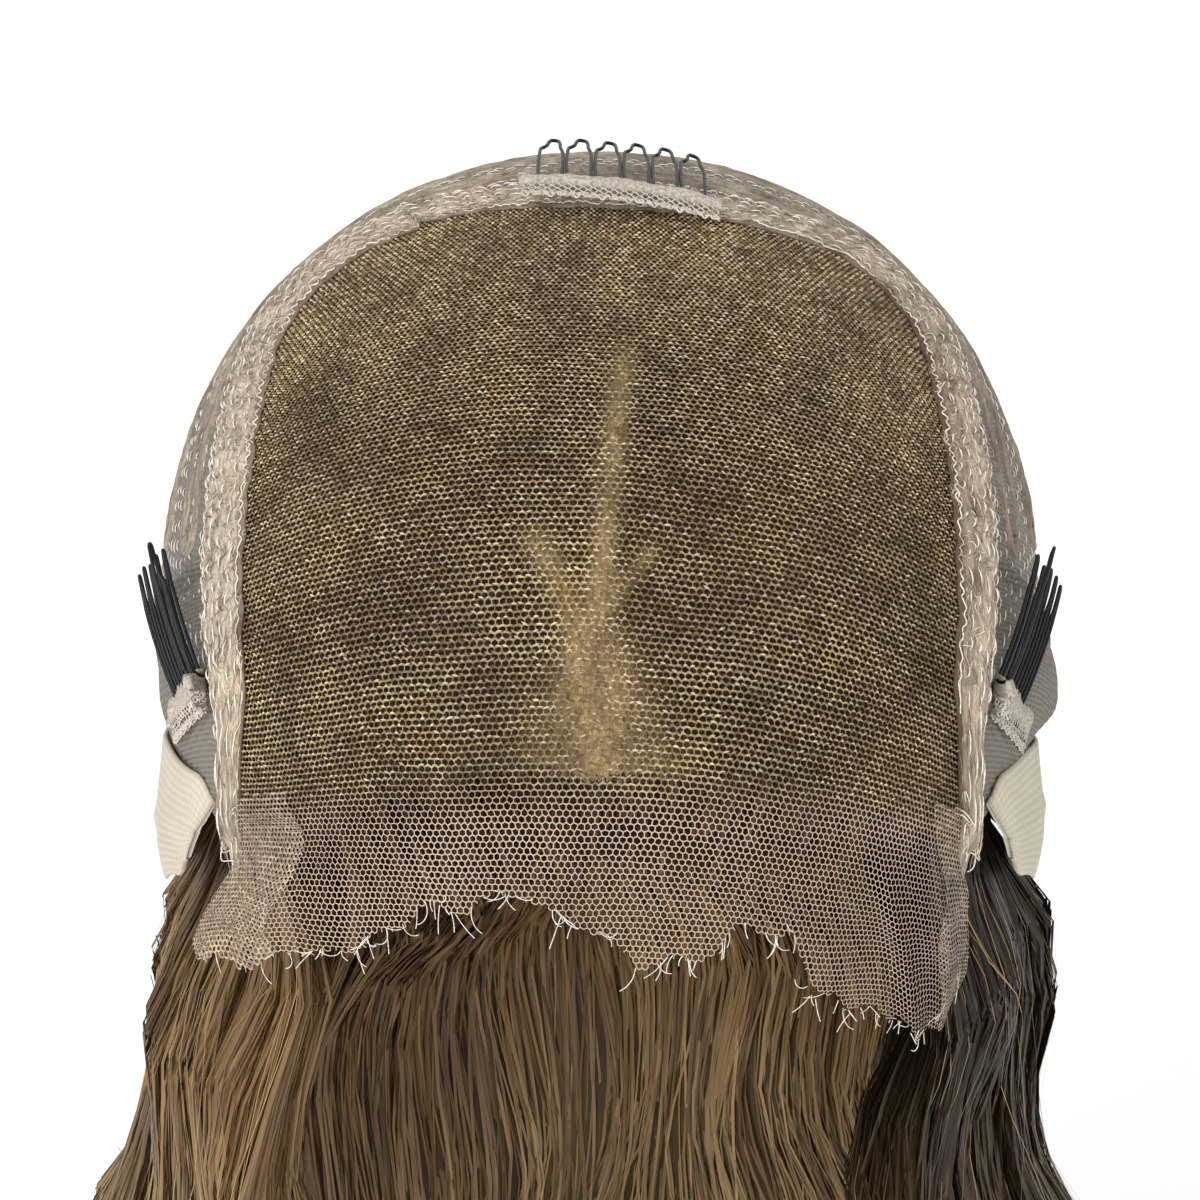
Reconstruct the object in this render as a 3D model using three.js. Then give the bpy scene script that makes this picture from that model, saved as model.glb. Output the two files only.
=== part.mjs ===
// Lace closure wig, worn inside out: the sewn side of the cap faces outwards and the hair hangs from inside it.
// Units are millimetres, +Z is up and the front, with the sheer lace, faces -Y. Left is the -X side.
// The origin is the point under the crown where the wig rests on a head.
import * as THREE from 'three';
import { mergeVertices } from 'three/addons/utils/BufferGeometryUtils.js';

// The head form that the cap is cut for, measured over the cap's cloth from its widest level
const HEAD_HALF_WIDTH = 82;
const HEAD_FRONT = 98;
const HEAD_BACK = 101;
const HEAD_CROWN = 78.5;
const HEAD_BELOW = 128;
const HEAD_POWER = 2.12;
const POLE_TILT = 33;

// Cloth, lace and hair thicknesses, and the clearance between pieces that touch
const GAP = 0.35;
const LACE_WALL = 1.2;
const CAP_WALL = 1.5;
const PANEL_WALL = 1.7;
const HAIR_LINING = 2.4;

// The lace closure, measured along the head from its middle
const CLOSURE_HALF_WIDTH = 71;
const CLOSURE_BACK = 55.5;
const CLOSURE_CORNER = 31;
const CLOSURE_SLANT = 3.5;
const HAIRLINE = 70;
const SHEER_DEPTH = 50;
const SPREAD_START = 52;
const SPREAD_RATE = 0.42;
const DRAPE_FLARE_LEFT = 11;
const DRAPE_FLARE_RIGHT = 3;
const FLARE_LEFT_FROM = 0.5;
const FLARE_RIGHT_FROM = 0.6;
const DRAPE_START = 7;
const DRAPE_FULL_SHARE = 0.7;
const DRAPE_FOLD = 1.6;
const DRAPE_FOLDS = 17;
const CLOSURE_HAIR_SHARE = 0.97;
const CLOSURE_HAIR_TOP = 0.02;

// The sewn band round the closure: flat as far as one azimuth, at full height from the other
const SEAM_WIDTH = 12.5;
const SEAM_LAP = 2;
const SEAM_HEIGHT = 4.2;
const SEAM_BACK_HEIGHT = 2.2;
const SEAM_EDGE = 1;
const SEAM_PUCKER = 0.45;
const SEAM_PUCKERS = 33;
const SEAM_FLAT_TO = 20;
const SEAM_FULL_FROM = 80;
const SEAM_ROWS = [0, 0.25, 0.7, 1];
const SEAM_END = 133;
const SEAM_TIP = 7;
const SEAM_TIP_SHARE = 0.45;
const TAPE_SLOPE = 4;

// The cap behind the closure, its lower rim and the two rib-knit panels in front of the ears
const TEMPLE = 130;
const PANEL_SHARE = 0.81;
const PANEL_SLANT = 0.13;
const NAPE_DROP = 78;
const WEFT_RISE = 1.3;
const CAP_INSET = 2.6;
const LINING_DROOP = 1;
const LINING_SHARE = 0.96;
const LINING_DOWN = 0.97;

// Wire combs and the lace tapes that hold them; an eyelet lies between two shares of its cell
const COMB_LOOPS = 6;
const COMB_WIRE = 0.8;
const LOOP_WIDTH = 3.95;
const LOOP_PITCH = 5.15;
const TOOTH_LENGTH = 23;
const WIRE_SIDES = 5;
const STEPS_PER_LOOP = 12;
const TAPE_REST = 0.6;
const TAPE_WALL = 1.1;
const TAPE_EYELETS = 8;
const TAPE_ROWS = [0, 0.2, 0.4, 0.6, 0.8, 1];
const EYELET_START = 0.3;
const EYELET_END = 0.7;

// The elastic band
const BAND_WIDTH = 26.5;
const BAND_WALL = 1.4;

// Hair that hangs below the cap
const HAIR_LENGTH = 330;
const HAIR_TOP_LAP = 12;
const HAIR_CLEARANCE = 2.8;
const HAIR_INSET = PANEL_WALL + LINING_DROOP + HAIR_LINING + HAIR_CLEARANCE;
const HAIR_RELEASE = 48;
const CAP_REACH = 95;
const FRONT_SHARE = 0.95;
const BACK_THICKNESS = 0.6;
const LOCK_RISE = 2.6;
const INNER_LOCK_SHARE = 0.4;
const HAIR_WAVE = 6;
const HAIR_WAVE_LENGTH = 96;
const HAIR_WAVE_LEAN = 2;
const LOCK_SWAY = 22;
const LOCK_SWAY_LENGTH = 163.2;
const LOCK_POINT = 16;
const LOCKS_PER_TURN = 9;
const HAIR_ROW_SPREAD = 1.15;
const HAIR_END = 132;
const HAIR_SPLIT = 61.5;
const HAIR_SPLIT_GAP = 1;

// Faces along each piece, and down it where it has a second number
const FACES = {
  lace: 16,
  laceDown: 16,
  closureHair: 12,
  closureHairDown: 11,
  seam: 56,
  cap: 34,
  lining: 26,
  liningDown: 8,
  panel: 4,
  panelDown: 6,
  band: 44,
  sideHair: 10,
  backHair: 16,
  hairDown: 12,
};

// How many halvings find a place on a curve, the steepest tilt they try, and how close points are joined
const HALVINGS = 40;
const STEEPEST = 89;
const WELD = 1e-5;

const MAP_RADIUS = (HEAD_HALF_WIDTH + HEAD_FRONT + HEAD_CROWN) / 3;
const LINING_TOP = -LACE_WALL - 2 * GAP;
const LINING_INSIDE = LINING_TOP - HAIR_LINING;
const CENTRE = new THREE.Vector3(0, 0, -(HEAD_CROWN + LINING_INSIDE));

const radians = THREE.MathUtils.degToRad;
const lerp = THREE.MathUtils.lerp;
const pole = new THREE.Vector3(0, -Math.sin(radians(POLE_TILT)), Math.cos(radians(POLE_TILT)));
const poleBack = new THREE.Vector3(0, Math.cos(radians(POLE_TILT)), Math.sin(radians(POLE_TILT)));
const acrossAxis = new THREE.Vector3(1, 0, 0);

function smooth(low, high, value) {
  return THREE.MathUtils.smoothstep(value, low, high);
}

// Reads a table of rows by its first column and mixes the neighbouring rows
function fromTable(rows, key, column, value) {
  let index = rows.findIndex((row) => row[key] >= value);
  if (index < 0) index = rows.length - 1;
  if (index === 0) return rows[0][column];
  const before = rows[index - 1];
  const after = rows[index];
  const share = Math.min((value - before[key]) / (after[key] - before[key]), 1);
  return lerp(before[column], after[column], share);
}

function headRadius(direction) {
  const depth = direction.y < 0 ? HEAD_FRONT : HEAD_BACK;
  const height = direction.z < 0 ? HEAD_BELOW : HEAD_CROWN;
  const sum = Math.abs(direction.x / HEAD_HALF_WIDTH) ** HEAD_POWER
    + Math.abs(direction.y / depth) ** HEAD_POWER
    + Math.abs(direction.z / height) ** HEAD_POWER;
  return sum ** (-1 / HEAD_POWER);
}

// A point in a direction from the head's middle, at a height over the cap's cloth
function onHead(direction, height) {
  return direction.clone().multiplyScalar(headRadius(direction) + height).add(CENTRE);
}

// The direction at an azimuth from the back and an angle from the pole, in degrees
function poleDirection(azimuth, angle) {
  const side = acrossAxis.clone().multiplyScalar(Math.sin(radians(azimuth)));
  side.addScaledVector(poleBack, Math.cos(radians(azimuth)));
  return pole.clone().multiplyScalar(Math.cos(radians(angle))).addScaledVector(side, Math.sin(radians(angle)));
}

// The direction that lies at these lengths along the head, to the right and to the back of the pole
function mapDirection(right, back) {
  const azimuth = THREE.MathUtils.radToDeg(Math.atan2(right, back));
  return poleDirection(azimuth, THREE.MathUtils.radToDeg(Math.hypot(right, back) / MAP_RADIUS));
}

// The direction at a turn from the back, seen from above, whose point on the cap lies at this level
function levelDirection(turn, level) {
  let low = -STEEPEST;
  let high = STEEPEST;
  const direction = new THREE.Vector3();
  for (let step = 0; step < HALVINGS; step += 1) {
    const tilt = radians((low + high) / 2);
    const flat = Math.cos(tilt);
    direction.set(flat * Math.sin(radians(turn)), flat * Math.cos(radians(turn)), Math.sin(tilt));
    if (direction.z * headRadius(direction) < level) low = (low + high) / 2;
    else high = (low + high) / 2;
  }
  return direction.clone();
}

function slerp(from, to, share) {
  const angle = from.angleTo(to);
  const start = from.clone().multiplyScalar(Math.sin((1 - share) * angle));
  return start.addScaledVector(to, Math.sin(share * angle)).divideScalar(Math.sin(angle)).normalize();
}

function stations(count) {
  return Array.from({ length: count + 1 }, (unused, index) => index / count);
}

// Turns a geometry inside out when its faces point inwards
function facingOut(geometry) {
  const position = geometry.attributes.position;
  const index = geometry.index.array;
  const corners = [new THREE.Vector3(), new THREE.Vector3(), new THREE.Vector3()];
  let volume = 0;
  for (let first = 0; first < index.length; first += 3) {
    corners.forEach((corner, place) => corner.fromBufferAttribute(position, index[first + place]));
    volume += corners[0].dot(corners[1].cross(corners[2]));
  }
  if (volume < 0) {
    for (let first = 0; first < index.length; first += 3) {
      [index[first + 1], index[first + 2]] = [index[first + 2], index[first + 1]];
    }
  }
  geometry.computeVertexNormals();
  return geometry;
}

// A closed wall between two surfaces over a grid, with holes through it where isHole says so
function wall({ us, vs, outer, inner, isHole = () => false }) {
  const columns = us.length;
  const layer = columns * vs.length;
  const vertices = [];
  for (const surface of [outer, inner]) {
    for (const v of vs) {
      for (const u of us) vertices.push(...surface(u, v).toArray());
    }
  }
  const triangles = [];
  const quad = (a, b, c, d) => triangles.push(a, b, c, a, c, d);
  const solid = (i, j) => i >= 0 && j >= 0 && i < columns - 1 && j < vs.length - 1 && !isHole(i, j);
  for (let j = 0; j < vs.length - 1; j += 1) {
    for (let i = 0; i < columns - 1; i += 1) {
      if (!solid(i, j)) continue;
      const corner = j * columns + i;
      const ring = [corner, corner + 1, corner + columns + 1, corner + columns];
      const under = ring.map((vertex) => vertex + layer);
      quad(ring[0], ring[1], ring[2], ring[3]);
      quad(under[3], under[2], under[1], under[0]);
      const beyond = [[i, j - 1], [i + 1, j], [i, j + 1], [i - 1, j]];
      beyond.forEach(([column, row], side) => {
        const next = (side + 1) % 4;
        if (!solid(column, row)) quad(ring[next], ring[side], under[side], under[next]);
      });
    }
  }
  const geometry = new THREE.BufferGeometry();
  geometry.setAttribute('position', new THREE.Float32BufferAttribute(vertices, 3));
  geometry.setIndex(triangles);
  return facingOut(mergeVertices(geometry, WELD));
}

function material(color, roughness, metalness = 0) {
  return new THREE.MeshStandardMaterial({ color, roughness, metalness });
}

const netMaterial = material(0xcdbfa6, 0.8);
const clothMaterial = material(0xa09383, 0.85);
const ribMaterial = material(0xb5a48c, 0.9);
const weftMaterial = material(0xa8977f, 0.9);
const tapeMaterial = material(0xe6dcca, 0.85);
const wireMaterial = material(0x1c1e24, 0.35, 0.6);
const elasticMaterial = material(0xeee6d2, 0.8);
const hairMaterial = material(0x8a7250, 0.5);
const closureHairMaterial = material(0x4a3826, 0.5);

// How far the lower edge of the sheer lace lies below the hairline, as a share of SHEER_DEPTH
const LACE_EDGE = [
  { across: -1, drop: 0.6 },
  { across: -0.85, drop: 0.7 },
  { across: -0.55, drop: 0.61 },
  { across: -0.37, drop: 0.46 },
  { across: -0.17, drop: 0.42 },
  { across: 0, drop: 0.54 },
  { across: 0.08, drop: 0.68 },
  { across: 0.2, drop: 0.65 },
  { across: 0.3, drop: 0.53 },
  { across: 0.42, drop: 0.56 },
  { across: 0.5, drop: 0.8 },
  { across: 0.82, drop: 0.98 },
  { across: 0.92, drop: 1 },
  { across: 1, drop: 0.84 },
];

// Half the closure's width at a length behind its middle: straight sides, round back corners
function closureHalfWidth(back) {
  const cornerStart = CLOSURE_BACK - CLOSURE_CORNER;
  if (back > cornerStart) {
    const run = Math.min(back - cornerStart, CLOSURE_CORNER);
    return CLOSURE_HALF_WIDTH - CLOSURE_CORNER + Math.sqrt(CLOSURE_CORNER ** 2 - run ** 2);
  }
  return CLOSURE_HALF_WIDTH + SPREAD_RATE * Math.max(-back - SPREAD_START, 0);
}

function closureBack(across) {
  return CLOSURE_BACK - CLOSURE_SLANT * across;
}

// A direction in the closure, from its back edge (down 0) to a front edge (down 1)
function closureDirection(across, down, front) {
  const back = lerp(closureBack(across), front, down);
  return mapDirection(across * closureHalfWidth(back), back);
}

// The angle from the pole of the closure's outline at an azimuth
function closureEdge(azimuth) {
  let low = 0;
  let high = 2 * CLOSURE_HALF_WIDTH;
  for (let step = 0; step < HALVINGS; step += 1) {
    const reach = (low + high) / 2;
    const right = reach * Math.sin(radians(azimuth));
    const back = reach * Math.cos(radians(azimuth));
    const width = closureHalfWidth(back);
    if (Math.abs(right) < width && back < closureBack(right / width)) low = reach;
    else high = reach;
  }
  return THREE.MathUtils.radToDeg(low / MAP_RADIUS);
}

function arcDegrees(length) {
  return THREE.MathUtils.radToDeg(length / MAP_RADIUS);
}

// The lace below the hairline hangs free: its corners swing out and shallow folds run down it
function laceDrape(across, beyond) {
  const free = smooth(DRAPE_START, SHEER_DEPTH * DRAPE_FULL_SHARE, beyond);
  const left = DRAPE_FLARE_LEFT * (1 - smooth(-1, -FLARE_LEFT_FROM, across));
  const right = DRAPE_FLARE_RIGHT * smooth(FLARE_RIGHT_FROM, 1, across);
  const fold = DRAPE_FOLD * Math.abs(across) * Math.sin(across * DRAPE_FOLDS);
  return new THREE.Vector3((right - left) * free, -fold * free, 0);
}

function laceClosure() {
  const surface = (height) => (u, v) => {
    const across = lerp(-1, 1, u);
    const front = -HAIRLINE - SHEER_DEPTH * fromTable(LACE_EDGE, 'across', 'drop', across);
    const beyond = -HAIRLINE - lerp(closureBack(across), front, v);
    return onHead(closureDirection(across, v, front), height).add(laceDrape(across, beyond));
  };
  const us = stations(FACES.lace);
  return wall({ us, vs: stations(FACES.laceDown), outer: surface(0), inner: surface(-LACE_WALL) });
}

// Hair knotted into the closure, lying under its lace as far as the hairline
function closureHair() {
  const surface = (height) => (u, v) => {
    const across = lerp(-CLOSURE_HAIR_SHARE, CLOSURE_HAIR_SHARE, u);
    return onHead(closureDirection(across, lerp(CLOSURE_HAIR_TOP, 1, v), -HAIRLINE), height);
  };
  const us = stations(FACES.closureHair);
  const vs = stations(FACES.closureHairDown);
  return wall({ us, vs, outer: surface(LINING_TOP), inner: surface(LINING_INSIDE) });
}

// The seam is thickest at the temples and flattest at the back
function seamHeight(azimuth) {
  return lerp(SEAM_BACK_HEIGHT, SEAM_HEIGHT, smooth(SEAM_FLAT_TO, SEAM_FULL_FROM, Math.abs(azimuth)));
}

// The band of wefting sewn over the closure's edge, from one temple round the back to the other
function closureSeam() {
  const place = (u, v, height) => {
    const azimuth = lerp(-SEAM_END, SEAM_END, u);
    const taper = Math.min(1, SEAM_TIP_SHARE + (SEAM_END - Math.abs(azimuth)) / SEAM_TIP);
    const sway = Math.sin(radians(azimuth * SEAM_PUCKERS)) * SEAM_PUCKER;
    const length = -SEAM_LAP + v * SEAM_WIDTH * taper + sway * (v - 0.5);
    return onHead(poleDirection(azimuth, closureEdge(azimuth) + arcDegrees(length)), height);
  };
  const outer = (u, v) => {
    const azimuth = lerp(-SEAM_END, SEAM_END, u);
    const pucker = Math.cos(radians(azimuth * SEAM_PUCKERS)) * SEAM_PUCKER;
    const crown = Math.sqrt(Math.sin(Math.PI * v));
    return place(u, v, GAP + SEAM_EDGE + (seamHeight(azimuth) - SEAM_EDGE + pucker) * crown);
  };
  return wall({ us: stations(FACES.seam), vs: SEAM_ROWS, outer, inner: (u, v) => place(u, v, GAP) });
}

// Level of the cap's lower rim under the head's widest level, as a share of NAPE_DROP
const RIM = [
  { turn: 0, drop: 1 },
  { turn: 30, drop: 0.97 },
  { turn: 55, drop: 0.82 },
  { turn: 70, drop: 0.56 },
  { turn: 82, drop: 0.35 },
  { turn: 95, drop: 0.22 },
  { turn: 110, drop: 0.16 },
  { turn: 122, drop: 0.17 },
  { turn: 132, drop: 0.19 },
];

function rimLevel(turn) {
  return -NAPE_DROP * fromTable(RIM, 'turn', 'drop', Math.abs(turn));
}

// A direction in the cap: round from -1 at the left temple to 1 at the right, down from seam to rim
function capDirection(round, down, inset) {
  const azimuth = TEMPLE * round;
  const top = poleDirection(azimuth, closureEdge(azimuth) + arcDegrees(inset));
  return slerp(top, levelDirection(azimuth, rimLevel(azimuth)), down);
}

// Rows down the cap: where each lies between seam and rim, and how much of WEFT_RISE it stands up
const CAP_ROWS = [
  { down: 0, rise: 0 },
  { down: 0.1, rise: 0 },
  { down: 0.2, rise: 0 },
  { down: 0.3, rise: 0 },
  { down: 0.33, rise: 1 },
  { down: 0.36, rise: 0 },
  { down: 0.47, rise: 0 },
  { down: 0.57, rise: 0 },
  { down: 0.6, rise: 1 },
  { down: 0.63, rise: 0 },
  { down: 0.73, rise: 0 },
  { down: 0.82, rise: 0 },
  { down: 0.91, rise: 0 },
  { down: 1, rise: 0 },
];

function crownCap() {
  const surface = (height, rise) => (u, v) => {
    const reach = PANEL_SHARE - PANEL_SLANT * v;
    const weft = rise * WEFT_RISE * fromTable(CAP_ROWS, 'down', 'rise', v);
    return onHead(capDirection(lerp(-reach, reach, u), v, CAP_INSET), height + weft);
  };
  const vs = CAP_ROWS.map((row) => row.down);
  return wall({ us: stations(FACES.cap), vs, outer: surface(0, 1), inner: surface(-CAP_WALL, 0) });
}

// Wefted hair that lines the cap
function crownHair() {
  const surface = (height) => (u, v) => {
    const round = lerp(-LINING_SHARE, LINING_SHARE, u);
    return onHead(capDirection(round, lerp(0, LINING_DOWN, v), 2 * CAP_INSET), height);
  };
  const top = -PANEL_WALL - LINING_DROOP;
  const us = stations(FACES.lining);
  return wall({ us, vs: stations(FACES.liningDown), outer: surface(top), inner: surface(top - HAIR_LINING) });
}

// The rib-knit panel between the cap and the temple end of the seam
function earPanel(side) {
  const surface = (height) => (u, v) => {
    const start = PANEL_SHARE - PANEL_SLANT * v + (2 * GAP) / MAP_RADIUS;
    return onHead(capDirection(side * lerp(start, 1, u), v, CAP_INSET), height);
  };
  const us = stations(FACES.panel);
  return wall({ us, vs: stations(FACES.panelDown), outer: surface(0), inner: surface(-PANEL_WALL) });
}

// Where the three combs are sewn on: azimuth and length from the pole and turn in the cloth, with the
// length and width of each tape and the angle at which its comb's teeth rise
const COMB_PLACES = {
  top: { azimuth: 3, length: 52, turn: -4, tapeLength: 35.5, tapeWidth: 10.5, lift: 2 },
  left: { azimuth: -117, length: 106, turn: 109, tapeLength: 31, tapeWidth: 8.5, lift: 7.5 },
  right: { azimuth: 118, length: 106, turn: -108, tapeLength: 31, tapeWidth: 8.5, lift: 7.5 },
};

// How high the cloth or the seam over it lies at a direction, sloping down beside the seam
function seamRise(direction) {
  const angle = direction.angleTo(pole);
  const azimuth = THREE.MathUtils.radToDeg(Math.atan2(direction.x, direction.dot(poleBack)));
  const beyond = radians(THREE.MathUtils.radToDeg(angle) - closureEdge(azimuth)) * MAP_RADIUS;
  const edge = SEAM_WIDTH - SEAM_LAP;
  const share = 1 - smooth(edge + SEAM_PUCKER, edge + TAPE_SLOPE, beyond);
  return share * (seamHeight(azimuth) + SEAM_PUCKER + GAP);
}

// A frame on the cloth at a comb: along runs with its back bar, teeth the way that its teeth point
function combFrame({ azimuth, length, turn }) {
  const middle = poleDirection(azimuth, arcDegrees(length));
  const away = poleDirection(azimuth, arcDegrees(length) + 90);
  const round = new THREE.Vector3().crossVectors(middle, away);
  const along = round.clone().multiplyScalar(Math.cos(radians(turn))).addScaledVector(away, Math.sin(radians(turn)));
  const teeth = away.clone().multiplyScalar(Math.cos(radians(turn))).addScaledVector(round, -Math.sin(radians(turn)));
  return { middle, along, teeth };
}

// A point on a comb's tooth, which follows the head: its length along the bar and out from the bar
function toothPoint(place, bar, reach) {
  const { middle, along, teeth } = combFrame(place);
  const radius = headRadius(middle);
  const root = place.tapeWidth / 2 + COMB_WIRE + GAP;
  const line = middle.clone().addScaledVector(along, bar / radius);
  const foot = line.clone().addScaledVector(teeth, root / radius).normalize();
  const under = line.clone().addScaledVector(teeth, (root + reach) / radius).normalize();
  const height = TAPE_REST + TAPE_WALL / 2 + seamRise(foot);
  return onHead(under, height + Math.tan(radians(place.lift)) * reach);
}

// A tape laid on the cloth under and over the comb's bar, with two rows of eyelets cut through
function combTape(place) {
  const surface = (height) => (u, v) => {
    const { middle, along, teeth } = combFrame(place);
    const radius = headRadius(middle);
    const bar = lerp(-place.tapeLength / 2, place.tapeLength / 2, u);
    const reach = lerp(-place.tapeWidth / 2, place.tapeWidth / 2, v);
    const direction = middle.clone().addScaledVector(along, bar / radius).addScaledVector(teeth, reach / radius);
    direction.normalize();
    return onHead(direction, TAPE_REST + seamRise(direction) + height);
  };
  const us = [0];
  for (let eyelet = 0; eyelet < TAPE_EYELETS; eyelet += 1) {
    us.push((eyelet + EYELET_START) / TAPE_EYELETS, (eyelet + EYELET_END) / TAPE_EYELETS);
  }
  us.push(1);
  const isHole = (i, j) => i % 2 === 1 && (j === 1 || j === 3);
  return wall({ us, vs: TAPE_ROWS, outer: surface(TAPE_WALL), inner: surface(0), isHole });
}

// One loop of a comb's wire, as shares of the loop's width and the tooth's length
const LOOP_PATH = [
  { across: 0, reach: 0 },
  { across: 0, reach: 0.45 },
  { across: 0, reach: 0.73 },
  { across: 0.24, reach: 0.78 },
  { across: 0.38, reach: 0.97 },
  { across: 0.6, reach: 1 },
  { across: 0.85, reach: 0.94 },
  { across: 0.95, reach: 0.73 },
  { across: 1, reach: 0.45 },
  { across: 1, reach: 0 },
];

// One wire bent into loops side by side, rising out of the tape at a low angle
function wireComb(place) {
  const points = [];
  const firstBar = -((COMB_LOOPS - 1) * LOOP_PITCH + LOOP_WIDTH) / 2;
  for (let loop = 0; loop < COMB_LOOPS; loop += 1) {
    for (const { across, reach } of LOOP_PATH) {
      const bar = firstBar + loop * LOOP_PITCH + across * LOOP_WIDTH;
      points.push(toothPoint(place, bar, TOOTH_LENGTH * reach));
    }
  }
  const path = new THREE.CatmullRomCurve3(points, false, 'centripetal');
  const corners = stations(WIRE_SIDES).slice(1).map((share) => {
    const turn = 2 * Math.PI * share;
    return new THREE.Vector2(Math.cos(turn), Math.sin(turn)).multiplyScalar(COMB_WIRE / 2);
  });
  const section = new THREE.Shape(corners);
  const options = { extrudePath: path, steps: COMB_LOOPS * STEPS_PER_LOOP, bevelEnabled: false };
  const geometry = new THREE.ExtrudeGeometry(section, options);
  geometry.deleteAttribute('normal');
  geometry.deleteAttribute('uv');
  return facingOut(mergeVertices(geometry, WELD));
}

// Middle level of the band under the head's widest level, its height over the cloth and its flare below
const BAND_COURSE = [
  { turn: 0, drop: 56, height: 2.2, flare: 0.5 },
  { turn: 45, drop: 52, height: 2.4, flare: 1 },
  { turn: 75, drop: 44, height: 3, flare: 3 },
  { turn: 98, drop: 36, height: 3.5, flare: 5 },
  { turn: 112, drop: 30, height: 3, flare: 5 },
  { turn: 125, drop: 25, height: 1, flare: 2 },
];

function elasticBand() {
  const end = BAND_COURSE[BAND_COURSE.length - 1].turn;
  const surface = (inside) => (u, v) => {
    const turn = lerp(-end, end, u);
    const middle = fromTable(BAND_COURSE, 'turn', 'drop', Math.abs(turn));
    const flare = fromTable(BAND_COURSE, 'turn', 'flare', Math.abs(turn));
    const height = fromTable(BAND_COURSE, 'turn', 'height', Math.abs(turn)) + flare * v;
    const level = -middle + lerp(BAND_WIDTH / 2, -BAND_WIDTH / 2, v);
    return onHead(levelDirection(turn, level), height + inside);
  };
  return wall({ us: stations(FACES.band), vs: [0, 1], outer: surface(BAND_WALL), inner: surface(0) });
}

// Half width and depth of the hanging hair at drops from the head's widest level, and its thickness
const HAIR_FALL = [
  { drop: 0, side: 75, back: 88, thick: 3 },
  { drop: 40, side: 77, back: 84, thick: 5 },
  { drop: 60, side: 79, back: 84, thick: 8 },
  { drop: 85, side: 83, back: 87, thick: 14 },
  { drop: 114, side: 90, back: 92, thick: 22 },
  { drop: 150, side: 98, back: 98, thick: 26 },
  { drop: 210, side: 104, back: 101, thick: 25 },
  { drop: 280, side: 102, back: 97, thick: 20 },
  { drop: 350, side: 96, back: 91, thick: 12 },
];

// Broad locks and fine ones: how many there are in a turn, how they sway, where they start and their share
const LOCKS = [
  { count: LOCKS_PER_TURN, sway: 4, start: 0, share: 0.7 },
  { count: 23, sway: -7, start: 40, share: 0.3 },
];

// How far the locks stand out at a place: ridges that sway down the length as waved hair does
function lockRise(turn, drop) {
  const swing = LOCK_SWAY * Math.sin((2 * Math.PI * drop) / LOCK_SWAY_LENGTH);
  let rise = 0;
  for (const { count, sway, start, share } of LOCKS) {
    rise += share * Math.sin(radians(turn * count + swing * sway + start));
  }
  return LOCK_RISE * rise;
}

// How far from the head's upright middle line the hair's outer side lies
function hairReach(turn, drop) {
  const rim = -rimLevel(turn);
  const under = onHead(levelDirection(turn, -Math.min(drop, CAP_REACH)), -HAIR_INSET).sub(CENTRE);
  const side = fromTable(HAIR_FALL, 'drop', 'side', drop);
  const back = fromTable(HAIR_FALL, 'drop', 'back', drop);
  const depth = Math.abs(turn) > 90 ? back * FRONT_SHARE : back;
  const free = 1 / Math.hypot(Math.sin(radians(turn)) / side, Math.cos(radians(turn)) / depth);
  const start = rim + HAIR_TOP_LAP / 2;
  return lerp(Math.hypot(under.x, under.y), free, smooth(start, start + HAIR_RELEASE, drop));
}

function hairPoint(turn, drop, inside) {
  const growth = smooth(-rimLevel(turn), -rimLevel(turn) + HAIR_RELEASE, drop);
  const sides = Math.abs(Math.sin(radians(turn)));
  const thick = fromTable(HAIR_FALL, 'drop', 'thick', drop) * lerp(BACK_THICKNESS, 1, sides);
  const phase = (2 * Math.PI * drop) / HAIR_WAVE_LENGTH + radians(turn * HAIR_WAVE_LEAN);
  const wave = HAIR_WAVE * growth * Math.sin(phase);
  const rise = growth * lockRise(turn, drop) * lerp(1, -INNER_LOCK_SHARE, inside);
  const reach = hairReach(turn, drop) + wave + rise - inside * thick;
  const along = new THREE.Vector3(Math.sin(radians(turn)), Math.cos(radians(turn)), 0);
  return along.multiplyScalar(reach).setZ(-drop).add(CENTRE);
}

// A curtain of locks between two turns, hanging from inside the rim to pointed ends
function hairCurtain(first, last, columns) {
  const surface = (inside) => (u, v) => {
    const turn = lerp(first, last, u);
    const top = Math.max(-rimLevel(turn) - HAIR_TOP_LAP, HAIR_TOP_LAP / 2);
    const end = HAIR_LENGTH + LOCK_POINT * Math.sin(radians(turn * LOCKS_PER_TURN));
    return hairPoint(turn, lerp(top, end, v ** HAIR_ROW_SPREAD), inside);
  };
  return wall({ us: stations(columns), vs: stations(FACES.hairDown), outer: surface(0), inner: surface(1) });
}

const wig = new THREE.Group();

function add(name, geometry, finish) {
  const mesh = new THREE.Mesh(geometry, finish);
  mesh.name = name;
  wig.add(mesh);
}

add('lace_closure', laceClosure(), netMaterial);
add('closure_hair', closureHair(), closureHairMaterial);
add('closure_seam', closureSeam(), weftMaterial);
add('crown_cap', crownCap(), clothMaterial);
add('crown_hair', crownHair(), hairMaterial);
add('ear_panel_left', earPanel(-1), ribMaterial);
add('ear_panel_right', earPanel(1), ribMaterial);
for (const [name, place] of Object.entries(COMB_PLACES)) {
  add(`comb_tape_${name}`, combTape(place), tapeMaterial);
  add(`wire_comb_${name}`, wireComb(place), wireMaterial);
}
add('elastic_band', elasticBand(), elasticMaterial);
const sideStart = HAIR_SPLIT + HAIR_SPLIT_GAP / 2;
const backEnd = HAIR_SPLIT - HAIR_SPLIT_GAP / 2;
add('hair_left', hairCurtain(-HAIR_END, -sideStart, FACES.sideHair), hairMaterial);
add('hair_back', hairCurtain(-backEnd, backEnd, FACES.backHair), hairMaterial);
add('hair_right', hairCurtain(sideStart, HAIR_END, FACES.sideHair), hairMaterial);

export default wig;
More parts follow.
